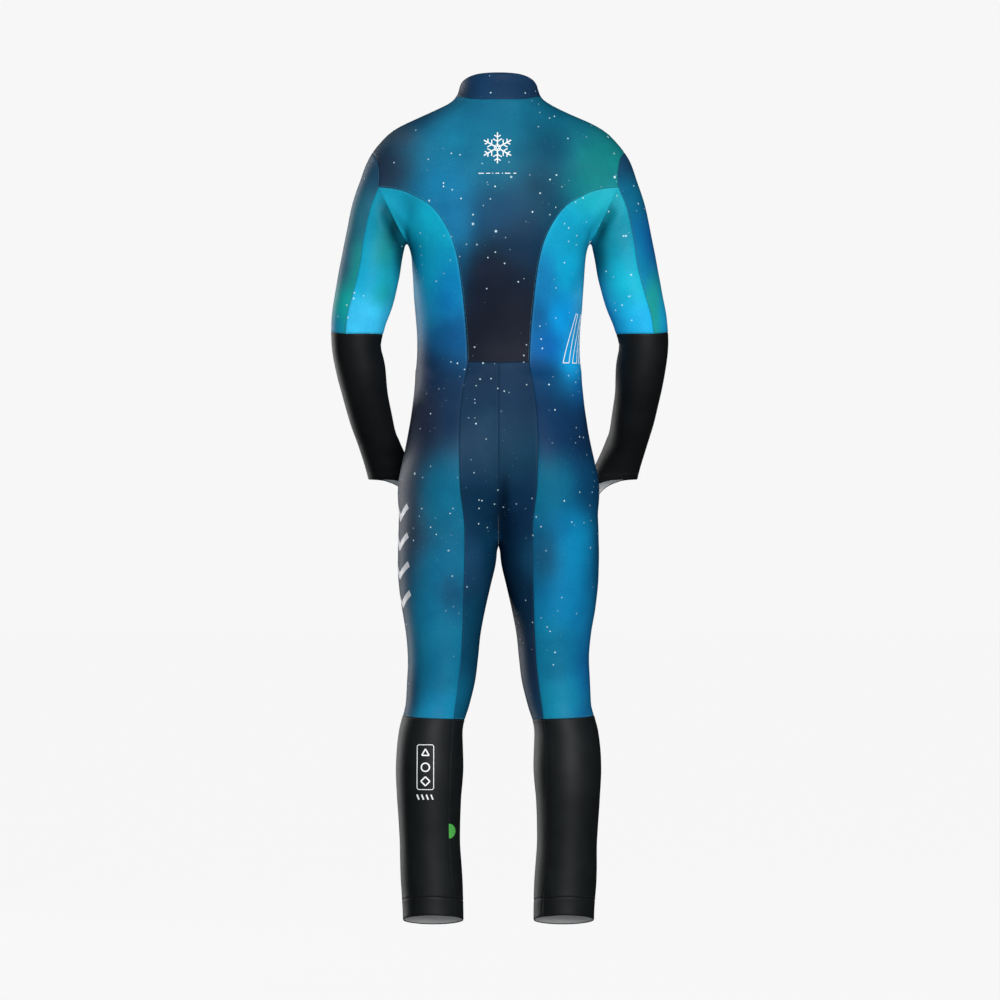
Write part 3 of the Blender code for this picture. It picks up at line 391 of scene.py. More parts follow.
def settle(points, rounds=8):
    """Move points along the steepest way until they lie on the surface."""
    moved = np.array(points, dtype=float)
    for _ in range(rounds):
        slope = body_normal(moved)
        size = np.maximum((slope ** 2).sum(axis=1, keepdims=True), 0.05)
        step = slope * (body_distance(moved)[:, None] / size)
        length = np.linalg.norm(step, axis=1, keepdims=True)
        moved -= step * np.minimum(1.0, 0.015 / np.maximum(length, 1e-9))
    return moved


def cast(starts, directions, reach=0.30, steps=60, side=1.0):
    """First point of the surface met on the way out from each start, or in where side is -1."""
    starts = np.array(starts, dtype=float)
    directions = unit(np.broadcast_to(np.array(directions, dtype=float), starts.shape))
    low = np.zeros(len(starts))
    high = np.full(len(starts), reach)
    found = np.zeros(len(starts), dtype=bool)
    for index in range(1, steps + 1):
        way = reach * index / steps
        past = side * body_distance(starts + directions * way) > 0.0
        fresh = past & ~found
        high[fresh] = way
        low[fresh] = way - reach / steps
        found |= past
    for _ in range(HALVINGS):
        middle = 0.5 * (low + high)
        past = side * body_distance(starts + directions * middle[:, None]) > 0.0
        high = np.where(past, middle, high)
        low = np.where(past, low, middle)
    return starts + directions * high[:, None]


def arc(points, axis=0):
    """Length along a line, or along a grid from its first row or column."""
    step = np.linalg.norm(np.diff(points, axis=axis), axis=-1)
    start = np.zeros_like(np.take(step, [0], axis=axis))
    return np.cumsum(np.concatenate([start, step], axis=axis), axis=axis)


def read_line(line, wanted):
    """Points of a line at the wanted lengths along it."""
    lengths = arc(line)
    return np.stack([np.interp(wanted, lengths, column) for column in line.T], axis=1)


def resample(points, count):
    """count + 1 points evenly spaced along a line of points."""
    points = np.asarray(points, dtype=float)
    return read_line(points, np.linspace(0.0, arc(points)[-1], count + 1))


def seen_seam(rows, side, count):
    """A seam drawn square from the back (side 1) or the front (side -1), put on the surface."""
    flat = smooth_line(rows)
    starts = columns(flat[:, 0], side * SEEN_FROM, flat[:, 1])
    line = cast(starts, [0.0, -side, 0.0], SEEN_FROM, SEEN_STEPS, -1.0)
    return settle(resample(line, count))


def arm_axis(z):
    x, y, _, _ = ARM_TABLE.at(z)
    return columns(x, y, z)


def leg_axis(z):
    """Middle of a leg, and above the crotch of half the torso."""
    _, mid_x, _, mid_y, _ = LEG_TABLE.at(z)
    share = np.clip((z - CROTCH_Z) / HIP_AXIS_HEIGHT, 0.0, 1.0)
    x = mid_x * (1.0 - share) + HIP_AXIS_X * share
    _, _, torso_y, _, _ = TORSO_TABLE.at(np.clip(z, -0.70, 0.0))
    y = mid_y * (1.0 - share) + torso_y * share
    return columns(x, y, z)


def chest_axis(z):
    return columns(0.0, TORSO_TABLE.at(z)[2], z)


def wrap_ring(axis, heights, angles, tilt=0.0):
    """A ring of points round a limb at the given angles, each at its own height."""
    return cast(axis(heights), columns(np.cos(angles), np.sin(angles), -tilt * np.sin(angles)))


def ring_angles(axis, ring):
    """Angles of a ring's points round its axis, counted on from the first one."""
    reach = ring - axis(ring[:, 2])
    return np.unwrap(np.arctan2(reach[:, 1], reach[:, 0]))


def ring_row(anchors, counts, axis):
    """A row of points round an axis through its anchors, with counts pieces between them."""
    anchors = np.asarray(anchors, dtype=float)
    places = [0.0]
    for index, count in enumerate(counts):
        places += [index + step / count for step in range(1, count + 1)]
    known = np.arange(len(anchors))
    angles = np.interp(places, known, ring_angles(axis, anchors))
    row = wrap_ring(axis, np.interp(places, known, anchors[:, 2]), angles)
    row[0], row[-1] = anchors[0], anchors[-1]
    return row


def relax(grid, rounds, held_column=None):
    """Even out the inside of a grid on the surface, with its edges held."""
    rows, cols = grid.shape[:2]
    for _ in range(rounds):
        inner = 0.25 * (grid[:-2, 1:-1] + grid[2:, 1:-1] + grid[1:-1, :-2] + grid[1:-1, 2:])
        moved = settle((0.5 * grid[1:-1, 1:-1] + 0.5 * inner).reshape(-1, 3), 3)
        held = grid[:, held_column].copy() if held_column else None
        grid = grid.copy()
        grid[1:-1, 1:-1] = moved.reshape(rows - 2, cols - 2, 3)
        if held_column:
            grid[:, held_column] = held
    return grid


def middle_line():
    """The line down the middle of the back, under the crotch and up the front to the neck."""
    down = np.linspace(NECK_Z, TURN_Z, MIDDLE_SAMPLES)
    back = cast(columns(0.0, 0.0, down), [0.0, 1.0, 0.0])
    turn = np.linspace(0.0, math.pi, MIDDLE_SAMPLES + 1)[1:-1]
    under = cast(columns(0.0, 0.0, np.full(len(turn), TURN_Z)),
                 columns(0.0, np.cos(turn), -np.sin(turn)))
    up = np.linspace(TURN_Z, float(neck_height(np.array(math.pi))), MIDDLE_SAMPLES)
    front = cast(columns(0.0, 0.0, up), [0.0, -1.0, 0.0])
    return np.vstack([back, under, front])


def neck_height(angle):
    """Height of the neck seam round the neck, angle 0 at the back and half a turn at the front."""
    share = (1.0 - np.cos(angle)) * 0.5
    return NECK_Z + NECK_SIDE_RISE * np.sin(angle) ** 4 - NECK_FRONT_DROP * share ** 1.6


def collar_height(angle):
    """Height of the collar's top edge, level at the back and sloping down to the front."""
    share = (1.0 - np.cos(angle)) * 0.5
    return COLLAR_BACK_Z - COLLAR_FRONT_DROP * share ** COLLAR_SLOPE_POWER


def neck_ring(angle, height):
    """Points round the neck at the given angles and heights."""
    return cast(columns(0.0, NECK_MID_Y, height), columns(np.sin(angle), np.cos(angle), 0.0))


class Lines:
    """The shared seam points of one half of the suit; the other half mirrors them."""

    def __init__(self):
        self.back_sleeve = seen_seam(BACK_SLEEVE_SEAM, 1, SLEEVE_ROWS)
        self.back_side = seen_seam(BACK_SIDE_SEAM, 1, TORSO_ROWS)
        self.back_thigh = seen_seam(BACK_THIGH_SEAM, 1, THIGH_ROWS)
        self.front_sleeve = seen_seam(FRONT_SLEEVE_SEAM, -1, SLEEVE_ROWS)
        self.front_side = seen_seam(FRONT_SIDE_SEAM, -1, TORSO_ROWS)
        self.front_thigh = seen_seam(FRONT_THIGH_SEAM, -1, THIGH_ROWS)
        top = settle(np.array([ARMHOLE_TOP]))[0]
        self.back_armhole = self.armhole(BACK_ARMHOLE, 1, top)
        self.front_armhole = self.armhole(FRONT_ARMHOLE, -1, top)
        self.neck_points()
        self.middle_points()
        self.inseam_points()

    def armhole(self, rows, side, top):
        """From the shoulder point down to the meeting of the four back or front seams."""
        seen = seen_seam(rows, side, 6)
        line = np.vstack([top, seen[::-1]])
        return settle(resample(smooth_line(line), ARMHOLE_ROWS))

    def neck_points(self):
        back = np.linspace(0.0, NECK_QUARTER, NECK_COLS + 1)
        front = np.linspace(math.pi, NECK_QUARTER, NECK_COLS + 1)
        self.neck_back_angle, self.neck_front_angle = back, front
        self.neck_back = neck_ring(back, neck_height(back))
        self.neck_front = neck_ring(front, neck_height(front))
        corner = self.neck_back[-1]
        end = self.back_armhole[0]
        share = np.linspace(0.0, 1.0, SHOULDER_SAMPLES)
        x = corner[0] + (end[0] - corner[0]) * share
        y = corner[1] + (end[1] - corner[1]) * share
        start = columns(np.minimum(x, SHOULDER_FROM_X), y, SHOULDER_FROM_Z)
        line = cast(start, columns(x - start[:, 0], 0.0, 0.1))
        line[0], line[-1] = corner, end
        self.shoulder = settle(resample(line, SHOULDER_COLS))

    def middle_points(self):
        line = middle_line()
        crotch = int(np.argmin(line[:, 2]))
        self.crotch = line[crotch]
        waist = int(np.argmin(np.abs(line[:crotch, 2] - WAIST_Z)))
        self.middle_back = resample(line[:waist + 1], ARMHOLE_ROWS + TORSO_ROWS)
        self.middle_seat = resample(line[waist:crotch + 1], CROTCH_ROW)
        front_rows = ARMHOLE_ROWS + TORSO_ROWS + CROTCH_ROW
        self.middle_front = resample(line[crotch:], front_rows)[::-1]

    def inseam_points(self):
        rows = THIGH_ROWS - CROTCH_ROW
        z = np.linspace(self.crotch[2], KNEE_Z - INSEAM_DROP, rows * 4 + 1)
        line = cast(leg_axis(z), [-1.0, 0.0, 0.0])
        line[0] = self.crotch
        self.inseam = settle(resample(line, rows))
        self.inseam[0] = self.crotch


def back_grid(lines):
    """Half of the back: rows from the neck to the waist, columns from the middle to the seam."""
    rows = ARMHOLE_ROWS + TORSO_ROWS
    outer = np.vstack([lines.back_armhole[:-1], lines.back_side])
    grid = np.zeros((rows + 1, BODY_COLS + 1, 3))
    for row in range(ARMHOLE_ROWS, rows + 1):
        anchors = [lines.middle_back[row], outer[row]]
        grid[row] = ring_row(anchors, [BODY_COLS], chest_axis)
    grid[0] = np.vstack([lines.neck_back, lines.shoulder[1:]])
    fill_between(grid, 0, ARMHOLE_ROWS, lines.middle_back, outer)
    return relax(grid, 6)


def fill_between(grid, first, last, left, right):
    """Rows between two known ones, blended with the edge points and put on the surface."""
    across = np.linspace(0.0, 1.0, grid.shape[1])[:, None]
    for row in range(first + 1, last):
        share = (row - first) / (last - first)
        plain = grid[first] * (1.0 - share) + grid[last] * share
        at_left = left[row] - plain[0]
        at_right = right[row] - plain[-1]
        grid[row] = settle(plain + at_left * (1.0 - across) + at_right * across)
        grid[row, 0], grid[row, -1] = left[row], right[row]


def front_grid(lines):
    """One front piece: rows from the neck and shoulder down to the knee."""
    rows = ARMHOLE_ROWS + TORSO_ROWS + THIGH_ROWS
    outer = np.vstack([lines.front_armhole[:-1], lines.front_side[:-1], lines.front_thigh])
    inner = np.vstack([lines.middle_front, lines.inseam[1:]])
    grid = np.zeros((rows + 1, BODY_COLS + 1, 3))
    for row in range(ARMHOLE_ROWS, rows + 1):
        grid[row] = ring_row([inner[row], outer[row]], [BODY_COLS], leg_axis)
    grid[0] = np.vstack([lines.neck_front, lines.shoulder[1:]])
    fill_between(grid, 0, ARMHOLE_ROWS, inner, outer)
    return relax(grid, 6)


def seat_grid(lines, waist):
    """One seat piece: rows from the waist down to the knee, columns from the middle outwards."""
    inner = np.vstack([lines.middle_seat, lines.inseam[1:]])
    rows = [waist]
    for row in range(1, THIGH_ROWS + 1):
        rows.append(ring_row([inner[row], lines.back_thigh[row]], [BODY_COLS], leg_axis))
    return relax(np.array(rows), 2)


def armpit():
    """The highest point of the hollow between arm and side."""
    across = np.linspace(*PIT_SEARCH_X, PIT_SAMPLES)
    under = cast(columns(across, 0.0, PIT_SEARCH_Z), [0.0, 0.0, -1.0])
    return under[np.argmax(under[:, 2])]


def valley_row(lines):
    """The row of the side piece that runs down the fold behind the arm, under it and up again."""
    half = SIDE_COLS // 2
    pit = armpit()
    bottom = (pit[0] + VALLEY_OUT, pit[2] + VALLEY_UP)
    back = seen_seam((BACK_SIDE_SEAM[0], bottom), 1, half)
    front = seen_seam((FRONT_SIDE_SEAM[0], bottom), -1, half)
    row = np.vstack([back[:-1], pit, front[::-1][1:]])
    row[0], row[-1] = lines.back_side[0], lines.front_side[0]
    return row


def side_grid(lines):
    """Under-sleeve and side panel: rows from the elbow up to the armpit, then down to the knee."""
    half = SIDE_COLS // 2
    back = np.vstack([lines.back_sleeve, lines.back_side[1:], lines.back_thigh[1:]])
    front = np.vstack([lines.front_sleeve, lines.front_side[1:], lines.front_thigh[1:]])
    grid = np.zeros((len(back), SIDE_COLS + 1, 3))
    last_arm = SLEEVE_ROWS - FAN_ROWS
    first_side = SLEEVE_ROWS + FAN_ROWS
    arm_z = np.linspace(ELBOW_Z, SLEEVE_MID_Z, last_arm + 1)
    arm = cast(arm_axis(arm_z), [-1.0, 0.0, 0.0])
    for row in range(last_arm + 1):
        grid[row] = ring_row([back[row], arm[row], front[row]], [half, half], arm_axis)
    torso_z = np.linspace(SIDE_MID_Z, WAIST_Z, TORSO_ROWS - FAN_ROWS + 1)
    side_z = np.r_[torso_z, np.linspace(WAIST_Z, KNEE_Z, THIGH_ROWS + 1)[1:]]
    side = cast(leg_axis(side_z), [1.0, 0.0, 0.0])
    for row in range(first_side, len(back)):
        anchors = [back[row], side[row - first_side], front[row]]
        grid[row] = ring_row(anchors, [half, half], leg_axis)
    grid[SLEEVE_ROWS] = valley_row(lines)
    fill_between(grid, last_arm, SLEEVE_ROWS, back, front)
    fill_between(grid, SLEEVE_ROWS, first_side, back, front)
    return relax(grid, 4, half)


def sleeve_grid(lines):
    """The outer sleeve: rows from the armhole down to the elbow, back edge to front edge."""
    back = lines.back_sleeve[::-1]
    front = lines.front_sleeve[::-1]
    top = np.vstack([lines.back_armhole[::-1], lines.front_armhole[1:]])
    middle_z = np.linspace(ARMHOLE_TOP[2], ELBOW_Z + SLEEVE_RISE, SLEEVE_ROWS + 1)
    middle = cast(arm_axis(middle_z), [1.0, 0.0, 0.0])
    half = SLEEVE_COLS // 2
    rows = [top]
    for row in range(1, SLEEVE_ROWS + 1):
        rows.append(ring_row([back[row], middle[row], front[row]], [half, half], arm_axis))
    return relax(np.array(rows), 8)


def knee_ring(side, front, seat):
    """The knee seam, from the seam at the inner back round the outside, front and inside."""
    return np.vstack([side[-1], front[-1][::-1][1:], seat[-1][1:]])


def elbow_ring(sleeve, side):
    """The elbow seam, from the front sleeve seam round the inside, back and outside."""
    return np.vstack([side[0][::-1], sleeve[-1][1:]])


def calf_grid(knee):
    """Lower leg, closed by one seam at the inner back, from the knee to the ankle seam."""
    seam = seen_seam(CALF_SEAM, 1, CALF_ROWS)
    start = ring_angles(leg_axis, knee)
    rows = [knee]
    for row in range(1, CALF_ROWS + 1):
        share = row / CALF_ROWS
        centre = leg_axis(np.array([seam[row, 2]]))[0]
        turn = math.atan2(seam[row, 1] - centre[1], seam[row, 0] - centre[0]) - start[0]
        turn = (turn + math.pi) % (2.0 * math.pi) - math.pi
        base = (1.0 - share) * knee[:, 2] + share * ANKLE_Z
        rows.append(wrap_ring(leg_axis, base, start + turn, -share * ANKLE_SLOPE))
    return np.array(rows)


def band_grid(ankle):
    """The hem band below the ankle seam; its edge is lower at the front."""
    angles = ring_angles(leg_axis, ankle)
    hem = wrap_ring(leg_axis, np.full(len(ankle), HEM_Z), angles, -HEM_SLOPE)
    middle = settle(0.5 * (ankle + hem))
    return np.array([ankle, middle, hem])


def forearm_grid(elbow):
    """Lower sleeve from the elbow seam to the cuff, which reaches lower towards the body."""
    angles = ring_angles(arm_axis, elbow)
    reach = (angles - CUFF_POINT_ANGLE + math.pi) % (2.0 * math.pi) - math.pi
    cuff_z = CUFF_Z - CUFF_DIP * np.exp(-(reach / CUFF_DIP_SPREAD) ** 2)
    rows = [elbow]
    for row in range(1, FOREARM_ROWS + 1):
        share = row / FOREARM_ROWS
        heights = (1.0 - share) * elbow[:, 2] + share * cuff_z
        rows.append(wrap_ring(arm_axis, heights, angles, 0.0))
    return np.array(rows)


def collar_grid(lines):
    """The stand-up collar, from the front edge on one side round the back to the other."""
    half = np.r_[lines.neck_front_angle, lines.neck_back_angle[::-1][1:]]
    base = np.vstack([lines.neck_front, lines.neck_back[::-1][1:]])
    rows = [base]
    for row in range(1, COLLAR_ROWS + 1):
        share = row / COLLAR_ROWS
        height = neck_height(half) * (1.0 - share) + collar_height(half) * share
        rows.append(neck_ring(half, height))
    left = np.array(rows)
    right = mirrored(left)[:, ::-1]
    return np.concatenate([left, right[:, 1:]], axis=1)


def mirrored(grid):
    return grid * np.array([-1.0, 1.0, 1.0])


def joined_halves(grid):
    """A grid from the middle outwards and its mirror image, as one grid."""
    return np.concatenate([mirrored(grid)[:, ::-1], grid[:, 1:]], axis=1)


def arm_lean(points):
    """Both arms are held a little towards the wearer's right, more so lower down."""
    share = np.clip((ARM_LEAN_TOP_Z - points[..., 2]) / (ARM_LEAN_TOP_Z - CUFF_Z), 0.0, 1.0)
    moved = points.copy()
    moved[..., 0] -= ARM_LEAN * share * share * (3.0 - 2.0 * share)
    return moved


def edge_inset(points, normals, sense, inset):
    """How far each point round the edge moves in, square to both edges that meet there."""
    before = points - np.roll(points, 1, axis=0)
    after = np.roll(points, -1, axis=0) - points
    first = unit(sense * np.cross(before, normals))
    second = unit(sense * np.cross(after, normals))
    meeting = 1.0 + (first * second).sum(axis=1, keepdims=True)
    return inset * (first + second) / np.maximum(meeting, 0.25)


# How finely the looks are made: steps in each cell, and the close steps next to a seam
STEPS = 4
SEAM_STEPS = (0.0007, 0.0016, 0.0030, 0.0052)
CLOTH = 0.0010
LOOKS_GAP = 0.00004
SEAM_DIP = 0.00038
SEAM_DIP_WIDTH = 0.0014
SEAM_ROLL = 0.00018
SEAM_ROLL_AT = 0.0036
SEAM_ROLL_WIDTH = 0.0016
HEM_TURNED = 0.0018
WAVES_FROM = 0.012

# Creases: middle, side of the body, direction, half length, half width, depth, bend
CREASES = (
    (0.1760, -0.2160, 1, -118, 0.0540, 0.0095, 0.0085, 1.5),
    (0.1920, -0.2250, 1, -100, 0.0400, 0.0060, 0.0016, -2.0),
    (-0.1760, -0.2120, 1, -60, 0.0520, 0.0090, 0.0075, -1.5),
    (-0.1600, -0.2340, 1, -78, 0.0330, 0.0070, 0.0013, 2.0),
    (0.2200, -0.3820, 1, 12, 0.0260, 0.0060, 0.0009, 4.0),
    (-0.2240, -0.3780, 1, -10, 0.0280, 0.0060, 0.0009, -4.0),
    (0.2230, -0.4300, -1, -14, 0.0280, 0.0060, 0.0013, 3.0),
    (0.2250, -0.4120, -1, 8, 0.0240, 0.0050, 0.0010, -3.0),
    (-0.2270, -0.4280, -1, 12, 0.0300, 0.0060, 0.0013, 3.0),
    (-0.2230, -0.4100, -1, -9, 0.0230, 0.0050, 0.0010, -3.0),
    (0.0260, -0.7150, 1, 34, 0.0340, 0.0070, 0.0012, -4.0),
    (-0.0280, -0.7120, 1, 146, 0.0360, 0.0070, 0.0013, 4.0),
    (0.0420, -0.7420, 1, 22, 0.0420, 0.0090, 0.0009, -3.0),
    (-0.0400, -0.7460, 1, 160, 0.0380, 0.0090, 0.0008, 3.0),
    (0.0900, -1.0300, 1, 6, 0.0420, 0.0080, 0.0008, 2.0),
    (-0.0960, -1.0240, 1, -5, 0.0440, 0.0080, 0.0008, -2.0),
    (0.1000, -1.0780, 1, -8, 0.0340, 0.0070, 0.0008, -2.0),
    (-0.0980, -1.0820, 1, 9, 0.0360, 0.0070, 0.0009, 2.0),
    (0.0750, -0.4620, -1, 10, 0.0460, 0.0110, 0.0012, 2.0),
    (-0.0700, -0.4560, -1, -12, 0.0500, 0.0110, 0.0012, 2.0),
    (0.0400, -0.7150, -1, -32, 0.0420, 0.0080, 0.0014, 4.0),
    (-0.0400, -0.7180, -1, -148, 0.0420, 0.0080, 0.0014, -4.0),
    (0.1950, -0.6060, 1, 18, 0.0260, 0.0060, 0.0009, 2.0),
    (-0.2020, -0.6020, 1, -16, 0.0260, 0.0060, 0.0009, 2.0),
)

# Colour pools, in millimetres: place seen from behind, reach across and up, colour, strength; most
# are print, a few are painted shade or painted light, as marked
BACK_POOLS = (
    # Painted sheen: the grey pool at (168, -62) on the left shoulder stands for light from the
    # upper left
    (0, -80, 300, 120, "#197592", 0.5), (168, -62, 32, 22, "#465668", 1.8),
    (85, -55, 55, 50, "#1e8cb4", 1.3), (100, -150, 42, 45, "#2195c4", 1.5),
    (130, -30, 50, 28, "#1f3f60", 1.6), (195, -118, 52, 44, "#2b3448", 2.6),
    (30, -30, 60, 30, "#1a6f90", 0.8), (-85, -85, 45, 45, "#114a66", 1.3),
    (-72, -160, 34, 50, "#0f3d58", 1.7), (-110, -25, 50, 30, "#0d6d8a", 1),
    (-175, -110, 48, 50, "#17908a", 2), (-200, -150, 40, 36, "#178a90", 1.6),
    (0, -200, 60, 40, "#1a5278", 1.2), (78, -212, 28, 60, "#2084b4", 1.8),
    (-40, -235, 40, 50, "#10304c", 2), (10, -310, 46, 60, "#1b2131", 2.4),
    (0, -400, 70, 70, "#1a1e2c", 3.2), (66, -300, 14, 60, "#184d70", 1),
)
SIDE_POOLS_LEFT = (
    (180, -170, 40, 35, "#18a4c2", 1.2), (110, -220, 40, 40, "#14bcdc", 1.6),
    (120, -290, 40, 50, "#10acd4", 1.3), (90, -330, 25, 50, "#1187c8", 1.4),
    (130, -370, 35, 40, "#1a8fb8", 0.9), (85, -400, 40, 35, "#175f97", 1.3),
    (130, -470, 45, 45, "#17365a", 1.6), (128, -545, 40, 60, "#2c344a", 2.2),
    # Painted rim light: the pale grey pool at (147, -545) lights the hip's edge below the arm,
    # where the arm shades the light from the left
    (147, -545, 14, 45, "#60677a", 2.6), (162, -640, 27, 110, "#444a5a", 3),
    (85, -545, 30, 50, "#1b3a5a", 1.2), (100, -665, 45, 60, "#0f7394", 1.4),
    (90, -800, 45, 40, "#0f789d", 1.1), (82, -820, 22, 40, "#1a486c", 1.2),
    (125, -870, 35, 50, "#137da2", 1.2), (165, -850, 18, 100, "#24405a", 1.6),
    (105, -960, 50, 50, "#12789a", 1.2), (155, -1010, 20, 60, "#1c3f5a", 1.5),
    (108, -1040, 36, 36, "#188cb4", 1.8), (225, -240, 25, 50, "#16a2c4", 1.5),
    (196, -260, 22, 45, "#1c8f8b", 1.2), (216, -310, 30, 35, "#14b6de", 1.6),
    (198, -330, 18, 40, "#1da79c", 1.2), (235, -380, 40, 26, "#40d0ff", 3),
    (205, -374, 22, 24, "#44d4ff", 4),
)
SIDE_POOLS_RIGHT = (
    (-165, -168, 50, 30, "#20b4c4", 1.6), (-115, -225, 40, 45, "#16b6da", 1.6),
    (-82, -310, 22, 45, "#1a80b8", 1.6), (-70, -375, 18, 35, "#155a90", 2),
    (-120, -300, 30, 40, "#0cb2de", 1.5), (-115, -370, 35, 35, "#08a8f0", 1.8),
    (-136, -440, 26, 32, "#14bcff", 4), (-148, -385, 16, 45, "#60d6ff", 4),
    (-90, -420, 30, 35, "#1067b4", 1.6), (-80, -470, 40, 30, "#123f68", 1.6),
    (-145, -485, 20, 35, "#1068b8", 1.3), (-95, -550, 50, 55, "#12355a", 2),
    (-150, -560, 30, 60, "#153358", 1.5), (-85, -650, 40, 40, "#0f6d8c", 1.3),
    (-140, -750, 36, 55, "#0b8abb", 1.7), (-155, -655, 24, 50, "#0c4870", 2),
    (-78, -780, 22, 40, "#135273", 1.3), (-125, -850, 45, 60, "#0c80b2", 1.3),
    (-172, -740, 16, 110, "#0e3f66", 2), (-95, -930, 45, 50, "#107b9e", 1.2),
    (-155, -960, 24, 70, "#0e6ba6", 1.2), (-105, -1020, 45, 40, "#148aab", 1.3),
    (-150, -1045, 30, 30, "#125f92", 0.9), (-195, -225, 30, 50, "#199fb6", 1.4),
    (-222, -300, 30, 40, "#16bcd6", 1.5), (-235, -385, 40, 30, "#20b8ec", 2),
)
# Painted shade: dark pools down the fold behind each arm, used on the under-sleeves only
PAINTED_FOLD_SHADE_LEFT = (
    (190, -190, 11, 22, "#06404c", 3), (174, -222, 13, 24, "#04303a", 5),
    (163, -262, 10, 28, "#05404c", 4),
)
PAINTED_FOLD_SHADE_RIGHT = (
    (-190, -194, 10, 22, "#08606c", 2), (-175, -224, 12, 24, "#054854", 4),
    (-170, -262, 10, 30, "#065666", 3.5),
)
SLEEVE_POOLS = (
    (215, -110, 40, 45, "#2c5874", 1.6), (240, -200, 35, 50, "#30788f", 1.4),
    (262, -270, 25, 50, "#3f6a8a", 1.5), (240, -290, 18, 60, "#159a94", 1.6),
    (262, -350, 35, 35, "#12b4b0", 2), (285, -385, 30, 25, "#1b8fc0", 1.4),
    (250, -390, 12, 40, "#1f9478", 1.8), (-215, -100, 35, 35, "#1d4b6c", 1.8),
    (-225, -165, 35, 35, "#0e7092", 1.6), (-262, -250, 25, 50, "#0e60a4", 1.8),
    (-240, -280, 20, 50, "#108cb4", 1.4), (-262, -360, 14, 60, "#1f9f90", 1.8),
    (-285, -370, 20, 45, "#16a0d4", 1.8),
)
SEAT_POOLS = (
    (20, -480, 60, 50, "#1b3854", 1.4), (30, -570, 50, 60, "#193e5a", 1.2),
    (-35, -500, 40, 60, "#1b3957", 1.2), (-20, -600, 40, 40, "#133f58", 1.3),
    (35, -680, 30, 50, "#0d3450", 1.3), (-34, -700, 36, 44, "#103252", 1.8),
    # Painted shade: the narrow dark pool at (-10, -685) darkens the fold beside the seat seam at
    # the crotch
    (-10, -685, 9, 40, "#03182a", 2.6), (48, -790, 26, 40, "#1a4464", 1.6),
    (14, -770, 14, 40, "#0b3c5a", 1.6), (-52, -790, 18, 40, "#154a6a", 1.8),
    (45, -920, 30, 60, "#0e4a67", 1.5), (64, -1020, 36, 50, "#0e6080", 1.5),
    (-45, -830, 30, 60, "#102f49", 1.5), (-60, -950, 30, 50, "#1f3550", 1.5),
    (-70, -1030, 40, 40, "#1b4261", 1.2),
)
COLLAR_POOLS = (
    (70, 20, 40, 40, "#1b3550", 1.5), (30, 20, 30, 30, "#204b72", 1.1),
    (0, 30, 30, 30, "#23405f", 1), (-50, 20, 40, 40, "#1d3c5c", 1.4),
)
FRONT_POOLS = (
    (90, -80, 60, 60, "#1c4d70", 1.2), (-90, -90, 60, 60, "#1f8089", 1.3),
    (150, -140, 50, 50, "#1f86a6", 1), (-150, -60, 60, 40, "#1a5c7a", 1),
    (50, -220, 60, 60, "#176d92", 1.2), (-60, -230, 60, 70, "#1790b4", 1.3),
    (80, -340, 60, 60, "#24304a", 1.6), (-80, -360, 60, 60, "#12609a", 1.4),
    (60, -470, 70, 50, "#1b3c5c", 1.3), (-60, -480, 70, 50, "#153a63", 1.3),
    (80, -600, 60, 70, "#1a3350", 1.4), (-80, -610, 60, 60, "#115a80", 1.2),
    (90, -760, 50, 80, "#117699", 1.3), (-90, -760, 50, 80, "#0d7fb0", 1.3),
    (60, -880, 40, 60, "#1a3f63", 1.2), (-60, -900, 40, 60, "#14486e", 1.2),
    (100, -1000, 50, 60, "#127698", 1.3), (-100, -1000, 50, 60, "#1484a6", 1.3),
)


def fine_steps(count, first, last):
    """Places along a grid, in cells: even steps, with close ones next to both edges."""
    even = np.arange(count * STEPS + 1) / STEPS
    near = np.array(SEAM_STEPS) / first
    far = count - np.array(SEAM_STEPS) / last
    spare = 0.4 / STEPS
    inner = even[(even > near[-1] + spare) & (even < far[-1] - spare)]
    return np.r_[0.0, near, inner, far[::-1], float(count)]


def stretches_at(stretches, places):
    """An edge of several seams, each smooth in itself, so both neighbours read the same points."""
    result = np.zeros((len(places), 3))
    start = 0
    for stretch in stretches:
        count = len(stretch) - 1
        inside = (places >= start) & (places <= start + count)
        result[inside] = curve_at(stretch, places[inside] - start)
        start += count
    return result


def mean_step(first, second):
    return float(np.linalg.norm(first - second, axis=1).mean())


def refine(grid, left=None, right=None, top=None, bottom=None):
    """A coarse grid made fine, with its edges exactly on the shared seams."""
    rows, cols = grid.shape[0] - 1, grid.shape[1] - 1
    row_at = fine_steps(rows, mean_step(grid[0], grid[1]), mean_step(grid[-1], grid[-2]))
    col_at = fine_steps(cols, mean_step(grid[:, 0], grid[:, 1]),
                        mean_step(grid[:, -1], grid[:, -2]))
    fine = curve_at(grid, row_at)
    fine = curve_at(fine.transpose(1, 0, 2), col_at).transpose(1, 0, 2)
    edges = ((left, 0, 1), (right, -1, 1), (top, 0, 0), (bottom, -1, 0))
    for seams, end, axis in edges:
        if seams is None:
            continue
        inwards, along, count = (col_at, row_at, cols) if axis else (row_at, col_at, rows)
        away = inwards if end == 0 else count - inwards
        turned = fine.swapaxes(0, axis)
        fade = np.maximum(1.0 - away, 0.0)[:, None, None]
        turned = turned + (stretches_at(seams, along) - turned[end])[None] * fade
        fine = turned.swapaxes(0, axis)
    shape = fine.shape
    return settle(fine.reshape(-1, 3), 3).reshape(shape), row_at


def seam_relief(distance):
    """Cloth dips into a seam and rolls up a little beside it."""
    dip = SEAM_DIP * np.exp(-(distance / SEAM_DIP_WIDTH) ** 2)
    roll = SEAM_ROLL * np.exp(-((distance - SEAM_ROLL_AT) / SEAM_ROLL_WIDTH) ** 2)
    return roll - dip


